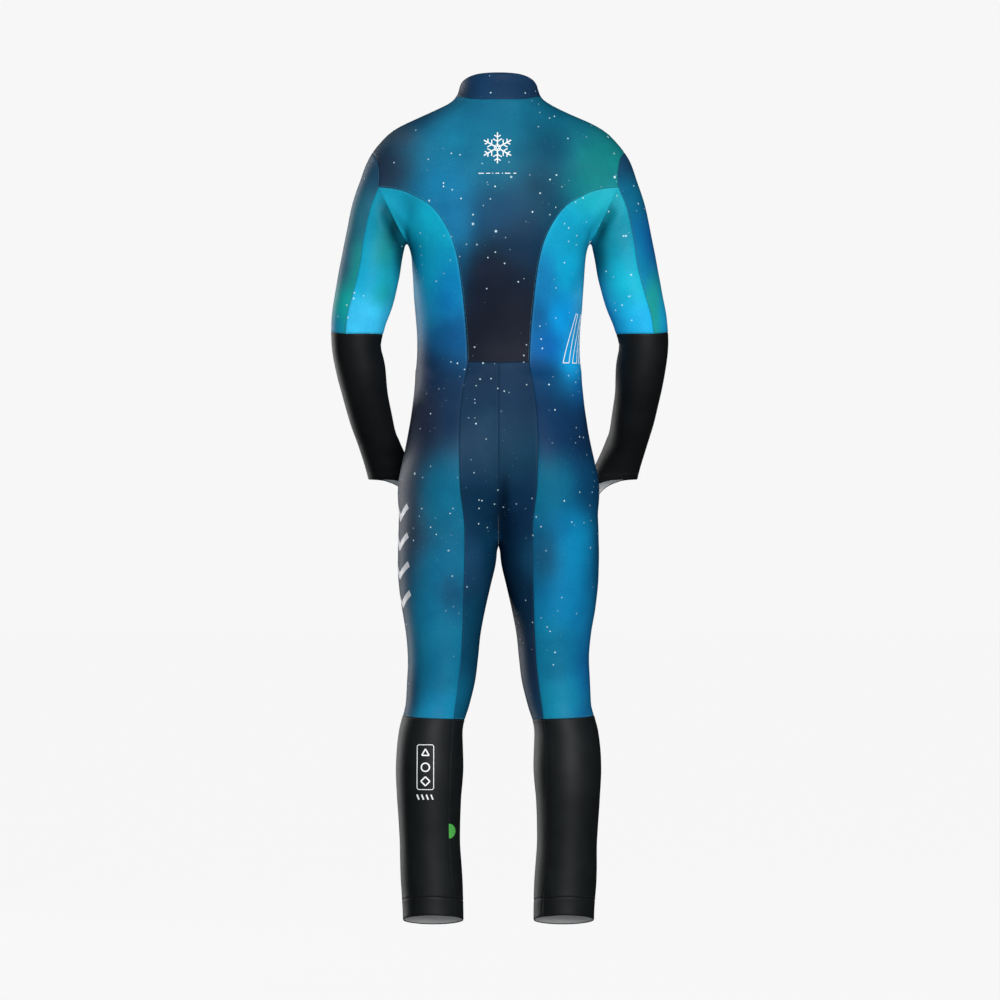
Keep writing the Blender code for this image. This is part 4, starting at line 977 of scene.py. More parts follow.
def crease_relief(points, normals):
    """Soft troughs with a low ridge on each side, as the table of creases places them."""
    relief = np.zeros(len(points))
    for x, z, side, turn, length, width, depth, bend in CREASES:
        turn = math.radians(turn)
        across, up = points[:, 0] - x, points[:, 2] - z
        u = across * math.cos(turn) + up * math.sin(turn)
        v = up * math.cos(turn) - across * math.sin(turn) - bend * u * u
        ends = np.clip(1.0 - (u / length) ** 2, 0.0, 1.0) ** 2
        facing = np.clip(normals[:, 1] * side * 2.0 + 0.6, 0.0, 1.0)
        trough = np.exp(-(v / width) ** 2)
        ridge = np.exp(-((np.abs(v) - 1.9 * width) / width) ** 2)
        relief += depth * ends * facing * (0.35 * ridge - trough)
    return relief


def pull_relief(points):
    """Long faint waves where the knit is drawn over the body."""
    x, y, z = points[:, 0], points[:, 1], points[:, 2]
    slow = np.sin(z * 41.0 + 9.0 * x + 1.3) * np.sin(x * 57.0 - 13.0 * z + 8.0 * y)
    quick = np.sin(z * 97.0 - 31.0 * x + 0.4) * np.sin(x * 83.0 + 37.0 * z + 21.0 * y + 2.0)
    return 0.00028 * slow + 0.00012 * quick


def linear(colour):
    """A colour written as six hex digits, as the shaders need it."""
    values = [int(colour[i:i + 2], 16) / 255.0 for i in (1, 3, 5)]
    return np.array([v / 12.92 if v <= 0.04045 else ((v + 0.055) / 1.055) ** 2.4 for v in values])


def pool_colours(points, pools):
    """Colours of the print, with its painted shade and light, at each point, mixed softly from the
    pools around it.
    """
    total = np.full((len(points), 1), 1e-6)
    mixed = total * linear(pools[0][4])
    across, up = points[:, 0] * 1000.0, points[:, 2] * 1000.0
    for x, z, reach_x, reach_z, colour, strength in pools:
        away = ((across - x) / reach_x) ** 2 + ((up - z) / reach_z) ** 2
        share = (strength / (1.0 + away) ** 2.5)[:, None]
        mixed = mixed + share * linear(colour)
        total = total + share
    return mixed / total


def wall_faces(rows, cols, sense, start=0):
    """Faces of a closed wall: outer grid, the rim between the grids and the inner grid."""
    count = rows * cols
    number = np.arange(count).reshape(rows, cols) + start
    quads = np.stack([number[:-1, :-1], number[1:, :-1], number[1:, 1:], number[:-1, 1:]], 2)
    quads = quads.reshape(-1, 4)
    loop = np.r_[number[0, :-1], number[:-1, -1], number[-1, :0:-1], number[:0:-1, 0]]
    end = np.roll(loop, -1)
    rim = columns(loop, end, end + count, loop + count)
    faces = np.vstack([quads, rim, quads[:, ::-1] + count])
    return faces[:, ::int(sense)].tolist(), loop


def cell_areas(grid):
    """The area of each cell, as a vector square to it."""
    return np.cross(grid[1:, :-1] - grid[:-1, :-1], grid[:-1, 1:] - grid[:-1, :-1])


def grid_sense(grid, normals):
    return 1.0 if (cell_areas(grid) * normals[:-1, :-1]).sum() > 0.0 else -1.0


def unit_normals(points):
    return unit(body_normal(points))


def add_object(name, mesh, materials, body):
    for material in materials:
        mesh.materials.append(material)
    obj = bpy.data.objects.new(name, mesh)
    bpy.context.scene.collection.objects.link(obj)
    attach(obj, body)
    return obj


def new_object(name, vertices, faces, materials, smooth=True):
    mesh = bpy.data.meshes.new(name)
    mesh.from_pydata(np.asarray(vertices).tolist(), [], faces)
    if smooth:
        mesh.shade_smooth()
    mesh.update()
    return add_object(name, mesh, materials, "suit")


def cloth_piece(name, node, grid, sign, finish, slot, pools=None, lean_to=None, row_at=None,
                turned=0.0, soft_end=None):
    """One cut piece as a thin closed shell, with its relief, print colours with some pools of
    painted shade and light, and seam distances.

    The seam at soft_end, 0 for the first row and 1 for the last, lies in a fold without a line.
    """
    rows, cols = grid.shape[:2]
    points = (grid * np.array([sign, 1.0, 1.0])).reshape(-1, 3)
    normals = unit_normals(points)
    across = arc(grid, 1)
    along = arc(grid, 0)
    ends = [along, along[-1:] - along]
    if soft_end is not None:
        del ends[soft_end]
    edge = np.minimum.reduce([across, across[:, -1:] - across] + ends).reshape(-1)
    relief = seam_relief(edge) + crease_relief(points, normals)
    relief += pull_relief(points) * np.clip(edge / WAVES_FROM, 0.0, 1.0)
    sense = grid_sense(points.reshape(rows, cols, 3), normals.reshape(rows, cols, 3))
    faces, loop = wall_faces(rows, cols, sense)
    inset = np.zeros_like(points)
    inset[loop] = edge_inset(points[loop], normals[loop], sense, 0.5 * LOOKS_GAP)
    outer = points + inset + normals * relief[:, None]
    inner = outer - normals * CLOTH
    if lean_to is not None:
        leaning = np.repeat(row_at <= lean_to + 1e-6, cols)
        outer[leaning] = arm_lean(outer[leaning])
        inner[leaning] = arm_lean(inner[leaning])
    shades = [finish, LOOKS["lining_knit"]]
    obj = new_object(name, np.vstack([outer, inner]), faces, shades)
    from_hem = (along[-1] - along).mean(axis=1)[:-1]
    lined = np.repeat(from_hem > turned, cols - 1).astype(int)
    kinds = np.r_[np.zeros(len(faces) - len(lined), dtype=int), lined]
    obj.data.polygons.foreach_set("material_index", kinds)
    add_values(obj.data, points, pools, edge, across.reshape(-1), along.reshape(-1))
    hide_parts(node)
    return obj


def add_values(mesh, points, pools, edge, across, along):
    """The print's colours with the painted shade and light of some pools, the distance to the seam
    and flat coordinates in metres.
    """
    if pools is not None:
        print_and_painted_light = mesh.attributes.new("print_and_painted_light", "FLOAT_COLOR", "POINT")
        shades = pool_colours(points, pools)
        shades = np.concatenate([shades, np.ones((len(shades), 1))], axis=1)
        print_and_painted_light.data.foreach_set("color", np.vstack([shades, shades]).astype(np.float32).reshape(-1))
    seam = mesh.attributes.new("seam_distance", "FLOAT", "POINT")
    seam.data.foreach_set("value", np.r_[edge, edge].astype(np.float32))
    flat = mesh.uv_layers.new(name="flat")
    corner = np.zeros(len(mesh.loops), dtype=np.int64)
    mesh.loops.foreach_get("vertex_index", corner)
    place = np.stack([np.r_[across, across], np.r_[along, along]], axis=1)
    flat.data.foreach_set("uv", place[corner].astype(np.float32).reshape(-1))


# Stitching: how far from the seam, pitch, length, width and height of one stitch
STITCH_AWAY = 0.0021
STITCH_PITCH = 0.0028
STITCH_SIZE = (0.0019, 0.00050, 0.00032)
HEM_AWAY = 0.0130


def stitch_shape():
    """One stitch: a short thread, thick in the middle and sunk at its ends."""
    around = np.linspace(0.0, 2.0 * math.pi, 7)[:-1]
    vertices = [(-0.5, 0.0, -0.4)]
    for at, size, lift in ((-0.30, 0.8, 0.3), (0.0, 1.0, 0.5), (0.30, 0.8, 0.3)):
        for angle in around:
            across, up = 0.5 * size * math.cos(angle), 0.5 * size * math.sin(angle)
            vertices.append((at, across, up + lift))
    vertices.append((0.5, 0.0, -0.4))
    faces = []
    for i in range(6):
        j = (i + 1) % 6
        faces.append((0, 1 + j, 1 + i))
        for ring in (1, 7):
            faces.append((ring + i, ring + j, ring + 6 + j, ring + 6 + i))
        faces.append((19, 13 + i, 13 + j))
    return np.array(vertices), faces


def stitch_run(line, away, lean=False, pitch=STITCH_PITCH):
    """Stitches beside a seam line: their vertices, in rows of one stitch each."""
    wanted = (np.arange(int(arc(line)[-1] / pitch)) + 0.5) * pitch
    base = read_line(line, wanted)
    along = unit(read_line(line, wanted + 0.0005) - base)
    side = np.cross(unit_normals(base), along)
    spot = settle(base + side * away, 2)
    normal = unit_normals(spot)
    relief = seam_relief(np.full(len(spot), abs(away))) + crease_relief(spot, normal)
    spot = spot + normal * relief[:, None]
    shape, _ = stitch_shape()
    long, wide, high = STITCH_SIZE
    vertices = (spot[:, None] + along[:, None] * shape[None, :, :1] * long
                + np.cross(normal, along)[:, None] * shape[None, :, 1:2] * wide
                + normal[:, None] * shape[None, :, 2:] * high)
    return arm_lean(vertices) if lean else vertices


def stitches(name, runs, material):
    """All stitches of one seam family as one piece."""
    rows = np.concatenate(runs)
    _, faces = stitch_shape()
    size = rows.shape[1]
    every = []
    for index in range(len(rows)):
        every += [tuple(v + index * size for v in face) for face in faces]
    return new_object(name, rows.reshape(-1, 3), every, [material])


def dense(line, count=400):
    """A seam's points drawn out finely, on the surface."""
    places = np.linspace(0, len(line) - 1, len(line) * 12)
    return settle(resample(curve_at(line, places), count), 2)


def film(name, strips, material, thickness=0.00018):
    """Thin printed film: strips of points on the cloth, given in pairs of edges."""
    vertices, faces, start = [], [], 0
    for strip in strips:
        rows, cols = strip.shape[:2]
        flat = strip.reshape(-1, 3)
        normals = unit_normals(flat)
        outer = flat + normals * (thickness + crease_relief(flat, normals)
                                  + pull_relief(flat))[:, None]
        inner = outer - normals * thickness * 1.6
        sense = grid_sense(strip, normals.reshape(rows, cols, 3))
        vertices.append(np.vstack([outer, inner]))
        faces += wall_faces(rows, cols, sense, start)[0]
        start += 2 * len(flat)
    return new_object(name, np.vstack(vertices), faces, [material], smooth=False)


def bar(place, start, end, width, taper=1.0, across=3):
    """A straight bar drawn on the flat and laid on the cloth by place()."""
    start, end = np.array(start, dtype=float), np.array(end, dtype=float)
    run = end - start
    length = float(np.linalg.norm(run))
    side = np.array([-run[1], run[0]]) / length * 0.5 * width
    count = max(2, int(length / 0.0025) + 1)
    share = np.linspace(0.0, 1.0, count)[:, None, None]
    spread = np.linspace(-1.0, 1.0, across)[None, :, None]
    flat = start + run * share + side * spread * (1.0 + (taper - 1.0) * share)
    return place(flat.reshape(-1, 2)).reshape(count, across, 3)


def outline(place, corners, width):
    """Bars round a closed outline."""
    ring = list(corners) + [corners[0]]
    return [bar(place, ring[i], ring[i + 1], width) for i in range(len(corners))]


def ring_outline(place, centre, radius, width, sides=20, start=0.0):
    turn = np.linspace(0.0, 2.0 * math.pi, sides + 1)[:-1] + start
    corners = [(centre[0] + radius * math.cos(t), centre[1] + radius * math.sin(t)) for t in turn]
    return outline(place, corners, width)


def on_back(flat):
    """Flat points as seen from behind, put on the back or on the calf."""
    middle = leg_axis(flat[:, 1]) if flat[:, 1].mean() < CROTCH_Z else chest_axis(flat[:, 1])
    return cast(columns(flat[:, 0], middle[:, 1], flat[:, 1]), [0.0, 1.0, 0.0])


def round_limb(axis, sign, radius):
    """Flat points wrapped round a limb or the waist, from its side towards its back."""
    def place(flat):
        return wrap_ring(axis, flat[:, 1], flat[:, 0] / radius) * np.array([sign, 1.0, 1.0])
    return place


def snowflake(centre, reach):
    """A plain six-armed snow crystal."""
    strips = []
    for arm in range(6):
        turn = math.radians(60 * arm + 30)
        way = np.array([math.cos(turn), math.sin(turn)])
        strips.append(bar(on_back, centre + way * 0.0015, centre + way * reach, 0.0021))
        for share, size in ((0.42, 0.0085), (0.70, 0.0062)):
            root = centre + way * reach * share
            for bend in (-60, 60):
                side = turn + math.radians(bend)
                tip = root + np.array([math.cos(side), math.sin(side)]) * size
                strips.append(bar(on_back, root, tip, 0.0018))
    strips += ring_outline(on_back, centre, reach * 0.22, 0.0014, sides=6, start=math.radians(30))
    return strips


def chevrons(place, middle, top, count, step, half, drop, width):
    """Stacked open V shapes."""
    strips = []
    for index in range(count):
        z = top - index * step
        size = half * (1.0 + 0.10 * index)
        tip = np.array([middle, z - drop])
        for sign in (-1.0, 1.0):
            start = np.array([middle + sign * size, z])
            past = (tip - start) / np.linalg.norm(tip - start) * 0.5 * width * drop / size
            strips.append(bar(place, start, tip + past, width))
    return strips


def add_marks():
    """Plain geometric marks in the places where the print has its light figures."""
    centre = np.array([0.0017, -0.0876])
    dashes = []
    row = ((-0.0300, 0.0050), (-0.0200, 0.0090), (-0.0075, 0.0016), (-0.0010, 0.0060),
           (0.0090, 0.0016), (0.0140, 0.0070), (0.0245, 0.0090))
    for x, length in row:
        dashes.append(bar(on_back, (x, -0.1310), (x + length, -0.1310), 0.0013))
    film("back_mark", snowflake(centre, 0.0265) + dashes, LOOKS["mark_white"])

    thigh = round_limb(leg_axis, 1.0, 0.086)
    film("thigh_mark", chevrons(thigh, 0.030, -0.690, 4, 0.049, 0.029, 0.021, 0.0105),
         LOOKS["mark_pale"])

    waist = round_limb(chest_axis, -1.0, 0.130)
    shapes = []
    for low in (0.0570, 0.0330, 0.0090):
        corners = [(low, -0.4480), (low + 0.0145, -0.4480), (low - 0.0160, -0.3650),
                   (low - 0.0235, -0.3650)]
        shapes += outline(waist, corners, 0.0017)
    film("waist_mark", shapes, LOOKS["mark_white"])

    frame_corners = [(0.1115, -1.0930), (0.1350, -1.0930), (0.1372, -1.0952), (0.1372, -1.1658),
                     (0.1350, -1.1680), (0.1115, -1.1680), (0.1093, -1.1658), (0.1093, -1.0952)]
    marks = outline(on_back, frame_corners, 0.0012)
    marks += ring_outline(on_back, (0.1232, -1.1070), 0.0072, 0.0022, sides=3,
                          start=math.radians(90))
    marks += ring_outline(on_back, (0.1232, -1.1305), 0.0070, 0.0022, sides=16)
    marks += ring_outline(on_back, (0.1232, -1.1540), 0.0076, 0.0022, sides=4)
    for step in range(4):
        x = 0.1340 - 0.0078 * step
        marks.append(bar(on_back, (x, -1.1850), (x + 0.0032, -1.1765), 0.0024))
    film("calf_mark", marks, LOOKS["mark_white"])


def add_label(seam):
    """A small half-round label of green cloth sewn into the seam of the left calf."""
    middle = int(np.argmin(np.abs(seam[:, 2] + 1.2390)))
    radius = 0.0125
    angles = np.linspace(-80, 80, 17)
    rows = []
    for angle in angles:
        z = seam[middle, 2] + radius * math.sin(math.radians(angle))
        reach = radius * math.cos(math.radians(angle)) * 0.85
        root = np.interp(-z, -seam[:, 2], seam[:, 0])
        rows.append(on_back(columns(root - 0.0006 - np.linspace(0.0, reach, 7), z)))
    film("calf_label", [np.array(rows)], LOOKS["mark_green"], thickness=0.0004)


def tape_lines(collar_edge, front_edge):
    """The middle of the zip from the collar's top down to its lower end."""
    path = np.vstack([collar_edge[::-1], front_edge[1:]])
    return path[path[:, 2] > ZIP_BOTTOM_Z]


def add_tape(name, node, path, sign):
    """A zip tape: a woven strip with a corded inner edge, on the cloth."""
    line = resample(path, 260)
    reach = np.array([0.0, 0.0006, 0.0014, 0.0026, 0.0050, 0.0076, 0.0096, TAPE_WIDTH])
    cord = np.array([0.00012, 0.00042, 0.00034, 0.0, 0.0, 0.0, 0.0, -0.00010])
    grid = np.zeros((len(line), len(reach), 3))
    for index, away in enumerate(reach):
        column = line.copy()
        column[:, 0] = (SEAM_GAP + away) * sign
        grid[:, index] = settle(column, 3)
        grid[:, index, 0] = column[:, 0]
    normals = unit_normals(grid.reshape(-1, 3)).reshape(grid.shape)
    outer = grid + normals * (TAPE_LIFT + TAPE_WALL + cord)[None, :, None]
    inner = grid + normals * TAPE_LIFT
    faces, _ = wall_faces(*grid.shape[:2], grid_sense(grid, normals))
    vertices = np.vstack([outer.reshape(-1, 3), inner.reshape(-1, 3)])
    obj = new_object(name, vertices, faces, [LOOKS["zip_tape_looks"]])
    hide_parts(node)
    return line


def add_teeth(line):
    """Teeth of the closed zip, left and right in turn, down the middle between the tapes."""
    pitch, half = 0.00125, np.array([0.0015, 0.00055, 0.00048])
    spot = read_line(line, np.arange(0.004, arc(line)[-1] - 0.006, pitch))
    spot[:, 0] = 0.0
    normal = unit_normals(spot)
    normal[:, 0] = 0.0
    normal = unit(normal)
    down = np.cross(normal, [1.0, 0.0, 0.0])
    spot = spot + normal * (TAPE_LIFT + TAPE_WALL + 0.0001)
    spot[:, 0] += np.where(np.arange(len(spot)) % 2 == 0, 0.00055, -0.00055)
    corners = np.array(list(itertools.product((-1.0, 1.0), repeat=3)))
    corners[:, ::2] *= np.where(corners[:, 1:2] > 0.0, 0.72, 1.0)
    vertices = (spot[:, None] + np.array([1.0, 0.0, 0.0]) * corners[None, :, :1] * half[0]
                + normal[:, None] * corners[None, :, 1:2] * half[1]
                + down[:, None] * corners[None, :, 2:] * half[2])
    sides = ((0, 1, 3, 2), (4, 6, 7, 5), (0, 4, 5, 1), (2, 3, 7, 6), (0, 2, 6, 4), (1, 5, 7, 3))
    faces = [tuple(v + 8 * i for v in side) for i in range(len(spot)) for side in sides]
    return new_object("zip_teeth", vertices.reshape(-1, 3), faces, [LOOKS["zip_tooth_metal"]],
                      smooth=False)


def solid_from(outline_points, low, high, bevel):
    """A plate from an outline across x and z, between two depths, with rounded edges."""
    shape = bmesh.new()
    ring = [shape.verts.new((x, low, z)) for x, z in outline_points]
    face = shape.faces.new(ring)
    made = bmesh.ops.extrude_face_region(shape, geom=[face])
    moved = [v for v in made["geom"] if isinstance(v, bmesh.types.BMVert)]
    bmesh.ops.translate(shape, vec=(0.0, high - low, 0.0), verts=moved)
    bmesh.ops.recalc_face_normals(shape, faces=shape.faces[:])
    sharp = [e for e in shape.edges if e.calc_face_angle(0.0) > 0.8]
    bmesh.ops.bevel(shape, geom=sharp, offset=bevel, segments=3, profile=0.5, affect="EDGES")
    return shape


def tube_along(points, radius, sides=12):
    """A round bar along a line of points."""
    points = np.asarray(points, dtype=float)
    shape = bmesh.new()
    rings = []
    for index, point in enumerate(points):
        ahead = unit(points[min(index + 1, len(points) - 1)] - points[max(index - 1, 0)])
        side = np.cross(ahead, [1.0, 0.0, 0.0])
        if np.linalg.norm(side) < 0.3:
            side = np.cross(ahead, [0.0, 0.0, 1.0])
        side = unit(side)
        other = np.cross(ahead, side)
        ring = []
        for turn in np.linspace(0.0, 2.0 * math.pi, sides + 1)[:-1]:
            place = point + radius * (side * math.cos(turn) + other * math.sin(turn))
            ring.append(shape.verts.new(place.tolist()))
        rings.append(ring)
    for first, second in zip(rings[:-1], rings[1:]):
        for i in range(sides):
            j = (i + 1) % sides
            shape.faces.new((first[i], first[j], second[j], second[i]))
    shape.faces.new(rings[0][::-1])
    shape.faces.new(rings[-1])
    bmesh.ops.recalc_face_normals(shape, faces=shape.faces[:])
    return shape


def rounded_outline(half_width, top, bottom, corner, steps=6, waist=0.0):
    """Outline of a plate with round corners, narrower in the middle by waist."""
    points = []
    for quarter, (sign_x, sign_z) in enumerate(((1, 1), (-1, 1), (-1, -1), (1, -1))):
        centre_x = sign_x * (half_width - corner)
        centre_z = (top - corner) if sign_z > 0 else (bottom + corner)
        for step in range(steps + 1):
            turn = math.radians(90 * (quarter + step / steps))
            points.append((centre_x + corner * math.cos(turn), centre_z + corner * math.sin(turn)))
        if quarter % 2 and waist:
            points.append((sign_x * (half_width - waist), 0.5 * (top + bottom)))
    return points


def join_shapes(name, shapes, matrix, body):
    """Several forms as one metal piece, put in place by a matrix."""
    whole = bmesh.new()
    for shape in shapes:
        for face in shape.faces:
            face.smooth = True
        part_mesh = bpy.data.meshes.new(name + "_form")
        shape.to_mesh(part_mesh)
        shape.free()
        whole.from_mesh(part_mesh)
        bpy.data.meshes.remove(part_mesh)
    bmesh.ops.transform(whole, matrix=matrix, verts=whole.verts[:])
    mesh = bpy.data.meshes.new(name)
    whole.to_mesh(mesh)
    whole.free()
    mesh.set_sharp_from_angle(angle=math.radians(40))
    return add_object(name, mesh, [LOOKS["zip_slider_metal"]], body)


def add_slider(line):
    """The cast slider with its two plates and bridge, and the pull tab hung in the bridge."""
    top, below = line[0], line[6]
    up = unit(top - below)
    out = np.array([0.0, -up[2], up[1]])
    place = top - up * SLIDER_DROP + out * (TAPE_LIFT + TAPE_WALL + SLIDER_CLEAR)
    slope = math.atan2(up[1], up[2])
    holder = Matrix.Translation(place.tolist()) @ Matrix.Rotation(-slope, 4, "X")
    wide, deep, tall = SLIDER_SIZE
    half = ((0.30, 0.5), (0.5, 0.34), (0.5, 0.05), (0.36, -0.42), (0.26, -0.5))
    shoulder = [(-x * wide, z * tall) for x, z in half]
    shoulder += [(x * wide, z * tall) for x, z in half[::-1]]
    upper = solid_from(shoulder, -deep, -0.62 * deep, 0.00035)
    lower = solid_from(shoulder, -0.38 * deep, 0.0, 0.00030)
    wedge = solid_from(rounded_outline(0.0016, 0.42 * tall, -0.05 * tall, 0.0008),
                       -0.7 * deep, -0.3 * deep, 0.0001)
    arch = []
    for turn in np.linspace(0.0, math.pi, 17):
        z = BRIDGE_REACH * 0.86 * math.cos(turn)
        y = -deep + 0.0002 - (BRIDGE_HEIGHT - 0.0004) * math.sin(turn) ** 0.6
        arch.append((0.0, y, z))
    bridge = tube_along(arch, 0.00062)
    slider = join_shapes("slider_looks", [upper, lower, wedge, bridge], holder, "suit")
    pin = holder @ Matrix.Translation((0.0, -deep - PULL_AXIS, 0.0))
    pin = pin @ Matrix.Rotation(-PULL_TILT, 4, "X")
    wide, thick, tall = PULL_SIZE
    top_z, low_z = PULL_BAR / 2, PULL_BAR / 2 - tall
    eye = rounded_outline(0.00235, top_z - 0.00065, -PULL_SLOT_END + 0.0002, 0.0012, steps=4)
    ring = tube_along([(x, 0.0, z) for x, z in eye + eye[:1]], 0.00062, sides=10)
    tab = solid_from(rounded_outline(0.5 * wide, -PULL_SLOT_END + 0.0006, low_z, 0.0016,
                                     waist=0.0006), -0.5 * thick, 0.5 * thick, 0.00030)
    ribs = []
    for index in range(6):
        z = low_z + 0.0040 + 0.0022 * index
        ribs.append(solid_from(rounded_outline(0.0021, z + 0.00045, z - 0.00045, 0.0004, steps=3),
                               -0.5 * thick - 0.00022, 0.5 * thick + 0.00022, 0.00012))
    pull = join_shapes("pull_looks", [ring, tab] + ribs, pin, "pull")
    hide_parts("zip_slider")
    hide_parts("zip_pull")


def put(tree, socket, value):
    """Feeds an input with another node's output, a colour or a number."""
    if isinstance(value, bpy.types.NodeSocket):
        tree.links.new(value, socket)
    elif isinstance(value, str):
        socket.default_value = (*linear(value), 1.0)
    else:
        socket.default_value = value


def add_node(tree, kind, inputs, **settings):
    """A node with its settings and its inputs, which are named or numbered."""
    node = tree.nodes.new(kind)
    for name, value in settings.items():
        setattr(node, name, value)
    for name, value in inputs.items():
        put(tree, node.inputs[name], value)
    return node


def new_material(name, inputs):
    """A material with its tree, its shader and the coordinates of the piece."""
    material = bpy.data.materials.new(name)
    material.use_nodes = True
    tree = material.node_tree
    shader = tree.nodes["Principled BSDF"]
    for socket, value in inputs.items():
        put(tree, shader.inputs[socket], value)
    return material, tree, shader.inputs, add_node(tree, "ShaderNodeTexCoord", {}).outputs


def cloth_material(name, roughness, sheen, level):
    return new_material(name, {"Roughness": roughness, "Sheen Weight": sheen,
                               "Sheen Roughness": 0.35, "Sheen Tint": (0.85, 0.90, 0.93, 1.0),
                               "Specular IOR Level": level})


def maths(tree, operation, first, second):
    return add_node(tree, "ShaderNodeMath", {0: first, 1: second}, operation=operation).outputs[0]


def times(tree, first, second):
    return maths(tree, "MULTIPLY", first, second)


def mixed(tree, blend, factor, first, second):
    """A colour Mix node; inputs are sockets, numbers or colours."""
    return add_node(tree, "ShaderNodeMix", {0: factor, 6: first, 7: second},
                    data_type="RGBA", blend_type=blend).outputs[2]


def ranged(tree, value, low, high, to_low=0.0, to_high=1.0):
    """A smooth step between two values."""
    return add_node(tree, "ShaderNodeMapRange",
                    {"Value": value, "From Min": low, "From Max": high, "To Min": to_low,
                     "To Max": to_high}, interpolation_type="SMOOTHSTEP").outputs["Result"]


def noise(tree, place, scale, detail, low, high, to_low=0.0, to_high=1.0):
    """Noise with its middle values stretched out."""
    source = add_node(tree, "ShaderNodeTexNoise",
                      {"Scale": scale, "Detail": detail, "Vector": place})
    return ranged(tree, source.outputs["Fac"], low, high, to_low, to_high)


def wave(tree, place, direction, scale, distortion=0.0):
    return add_node(tree, "ShaderNodeTexWave",
                    {"Scale": scale, "Distortion": distortion, "Vector": place},
                    bands_direction=direction).outputs["Fac"]


def bump(tree, height, strength, distance):
    return add_node(tree, "ShaderNodeBump", {"Strength": strength, "Distance": distance,
                                             "Height": height}).outputs["Normal"]


def knit(tree, flat, strength):
    """Rows and columns of fine loops, read along the cloth, as a bump."""
    loops = times(tree, wave(tree, flat, "X", 330.0, 0.6), wave(tree, flat, "Y", 250.0, 0.6))
    return bump(tree, loops, strength, 0.00006), loops


def stored(tree, name):
    return add_node(tree, "ShaderNodeAttribute", {}, attribute_name=name).outputs


def seam_shade(tree, darkest):
    """Darker right in the seam."""
    return ranged(tree, stored(tree, "seam_distance")["Fac"], 0.0002, 0.0016, darkest, 1.0)


def stars(tree, place, scale, radius, kept, cluster_scale, cluster_from):
    """Round specks at scattered places, gathered in loose groups."""
    cells = add_node(tree, "ShaderNodeTexVoronoi", {"Scale": scale, "Vector": place})
    speck = ranged(tree, cells.outputs["Distance"], radius * 0.45, radius, 1.0, 0.0)
    split = add_node(tree, "ShaderNodeSeparateColor", {0: cells.outputs["Color"]}).outputs
    chosen = maths(tree, "LESS_THAN", split[0], kept)
    bright = ranged(tree, split[1], 0.0, 1.0, 0.55, 1.0)
    group = noise(tree, place, cluster_scale, 1.0, cluster_from, cluster_from + 0.03)
    return times(tree, times(tree, speck, chosen), times(tree, bright, group))


def print_material():
    """Printed stretch knit: soft colour pools, some of them painted shade and light, fine grain,
    star specks and dark seam lines.
    """
    material, tree, shader, place = cloth_material("print_cloth", 0.50, 0.0, 0.06)
    spot = place["Object"]
    cloud = noise(tree, spot, 14.0, 4.0, 0.30, 0.70)
    colour = mixed(tree, "MULTIPLY", cloud, stored(tree, "print_and_painted_light")["Color"], "#dfe4ea")
    colour = mixed(tree, "MULTIPLY", noise(tree, spot, 620.0, 1.0, 0.30, 0.70), colour, "#eaeef1")
    normal, loops = knit(tree, place["UV"], 0.25)
    colour = mixed(tree, "MULTIPLY", times(tree, loops, 0.5), colour, "#e4e9ee")
    for strength, tint, *specks in ((0.30, "#8fd0e6", 150.0, 0.130, 0.50, 17.0, 0.53),
                                    (0.95, "#dcf8ff", 80.0, 0.145, 0.66, 9.0, 0.48),
                                    (1.00, "#d8f6ff", 30.0, 0.085, 0.55, 6.0, 0.48)):
        shown = times(tree, stars(tree, spot, *specks), strength)
        colour = mixed(tree, "MIX", shown, colour, tint)
    shade = mixed(tree, "MIX", seam_shade(tree, 0.72), "#0d2433", colour)
    put(tree, shader["Base Color"], shade)
    put(tree, shader["Normal"], normal)
    return material


def plain_cloth(name, colour, second, roughness, sheen, level, seam=0.5, depth=0.3):
    """Plain knit with a slight change of colour from place to place."""
    material, tree, shader, place = cloth_material(name, roughness, sheen, level)
    cloud = noise(tree, place["Object"], 26.0, 3.0, 0.35, 0.65)
    shade = mixed(tree, "MIX", cloud, colour, second)
    normal, loops = knit(tree, place["UV"], depth)
    shade = mixed(tree, "MULTIPLY", times(tree, loops, 0.6), shade, "#cfd3d6")
    if seam < 1.0:
        dark = mixed(tree, "MULTIPLY", 1.0, shade, "#5a5f63")
        shade = mixed(tree, "MIX", seam_shade(tree, seam), dark, shade)
    put(tree, shader["Base Color"], shade)
    put(tree, shader["Normal"], normal)
    return material


def speckle(made, colour, second, scale, detail, low, high):
    """Two close colours mixed by a fine noise."""
    material, tree, shader, place = made
    change = noise(tree, place["Object"], scale, detail, low, high)
    put(tree, shader["Base Color"], mixed(tree, "MIX", change, colour, second))
    return material


def thread_material(name, colour, second):
    return speckle(cloth_material(name, 0.6, 0.1, 0.3), colour, second, 210.0, 1.0, 0.35, 0.65)


def film_material(name, colour, second):
    """Heat-pressed film: even, slightly satin, with a faint grain of the cloth below."""
    return speckle(cloth_material(name, 0.42, 0.0, 0.35), colour, second, 900.0, 1.0, 0.3, 0.7)


def metal_material(name, colour, second, roughness):
    made = new_material(name, {"Metallic": 1.0})
    _, tree, shader, place = made
    put(tree, shader["Roughness"], noise(tree, place["Object"], 420.0, 2.0, 0.3, 0.7,
                                         roughness - 0.06, roughness + 0.08))
    return speckle(made, colour, second, 900.0, 3.0, 0.3, 0.7)


def tape_material():
    """Woven tape with fine ribs along its length."""
    material, tree, shader, place = cloth_material("zip_tape_looks", 0.7, 0.15, 0.2)
    spot = place["Object"]
    weave = times(tree, wave(tree, spot, "X", 360.0), wave(tree, spot, "Z", 420.0))
    put(tree, shader["Base Color"], mixed(tree, "MIX", weave, "#15171a", "#2c3034"))
    put(tree, shader["Normal"], bump(tree, weave, 0.5, 0.0001))
    return material


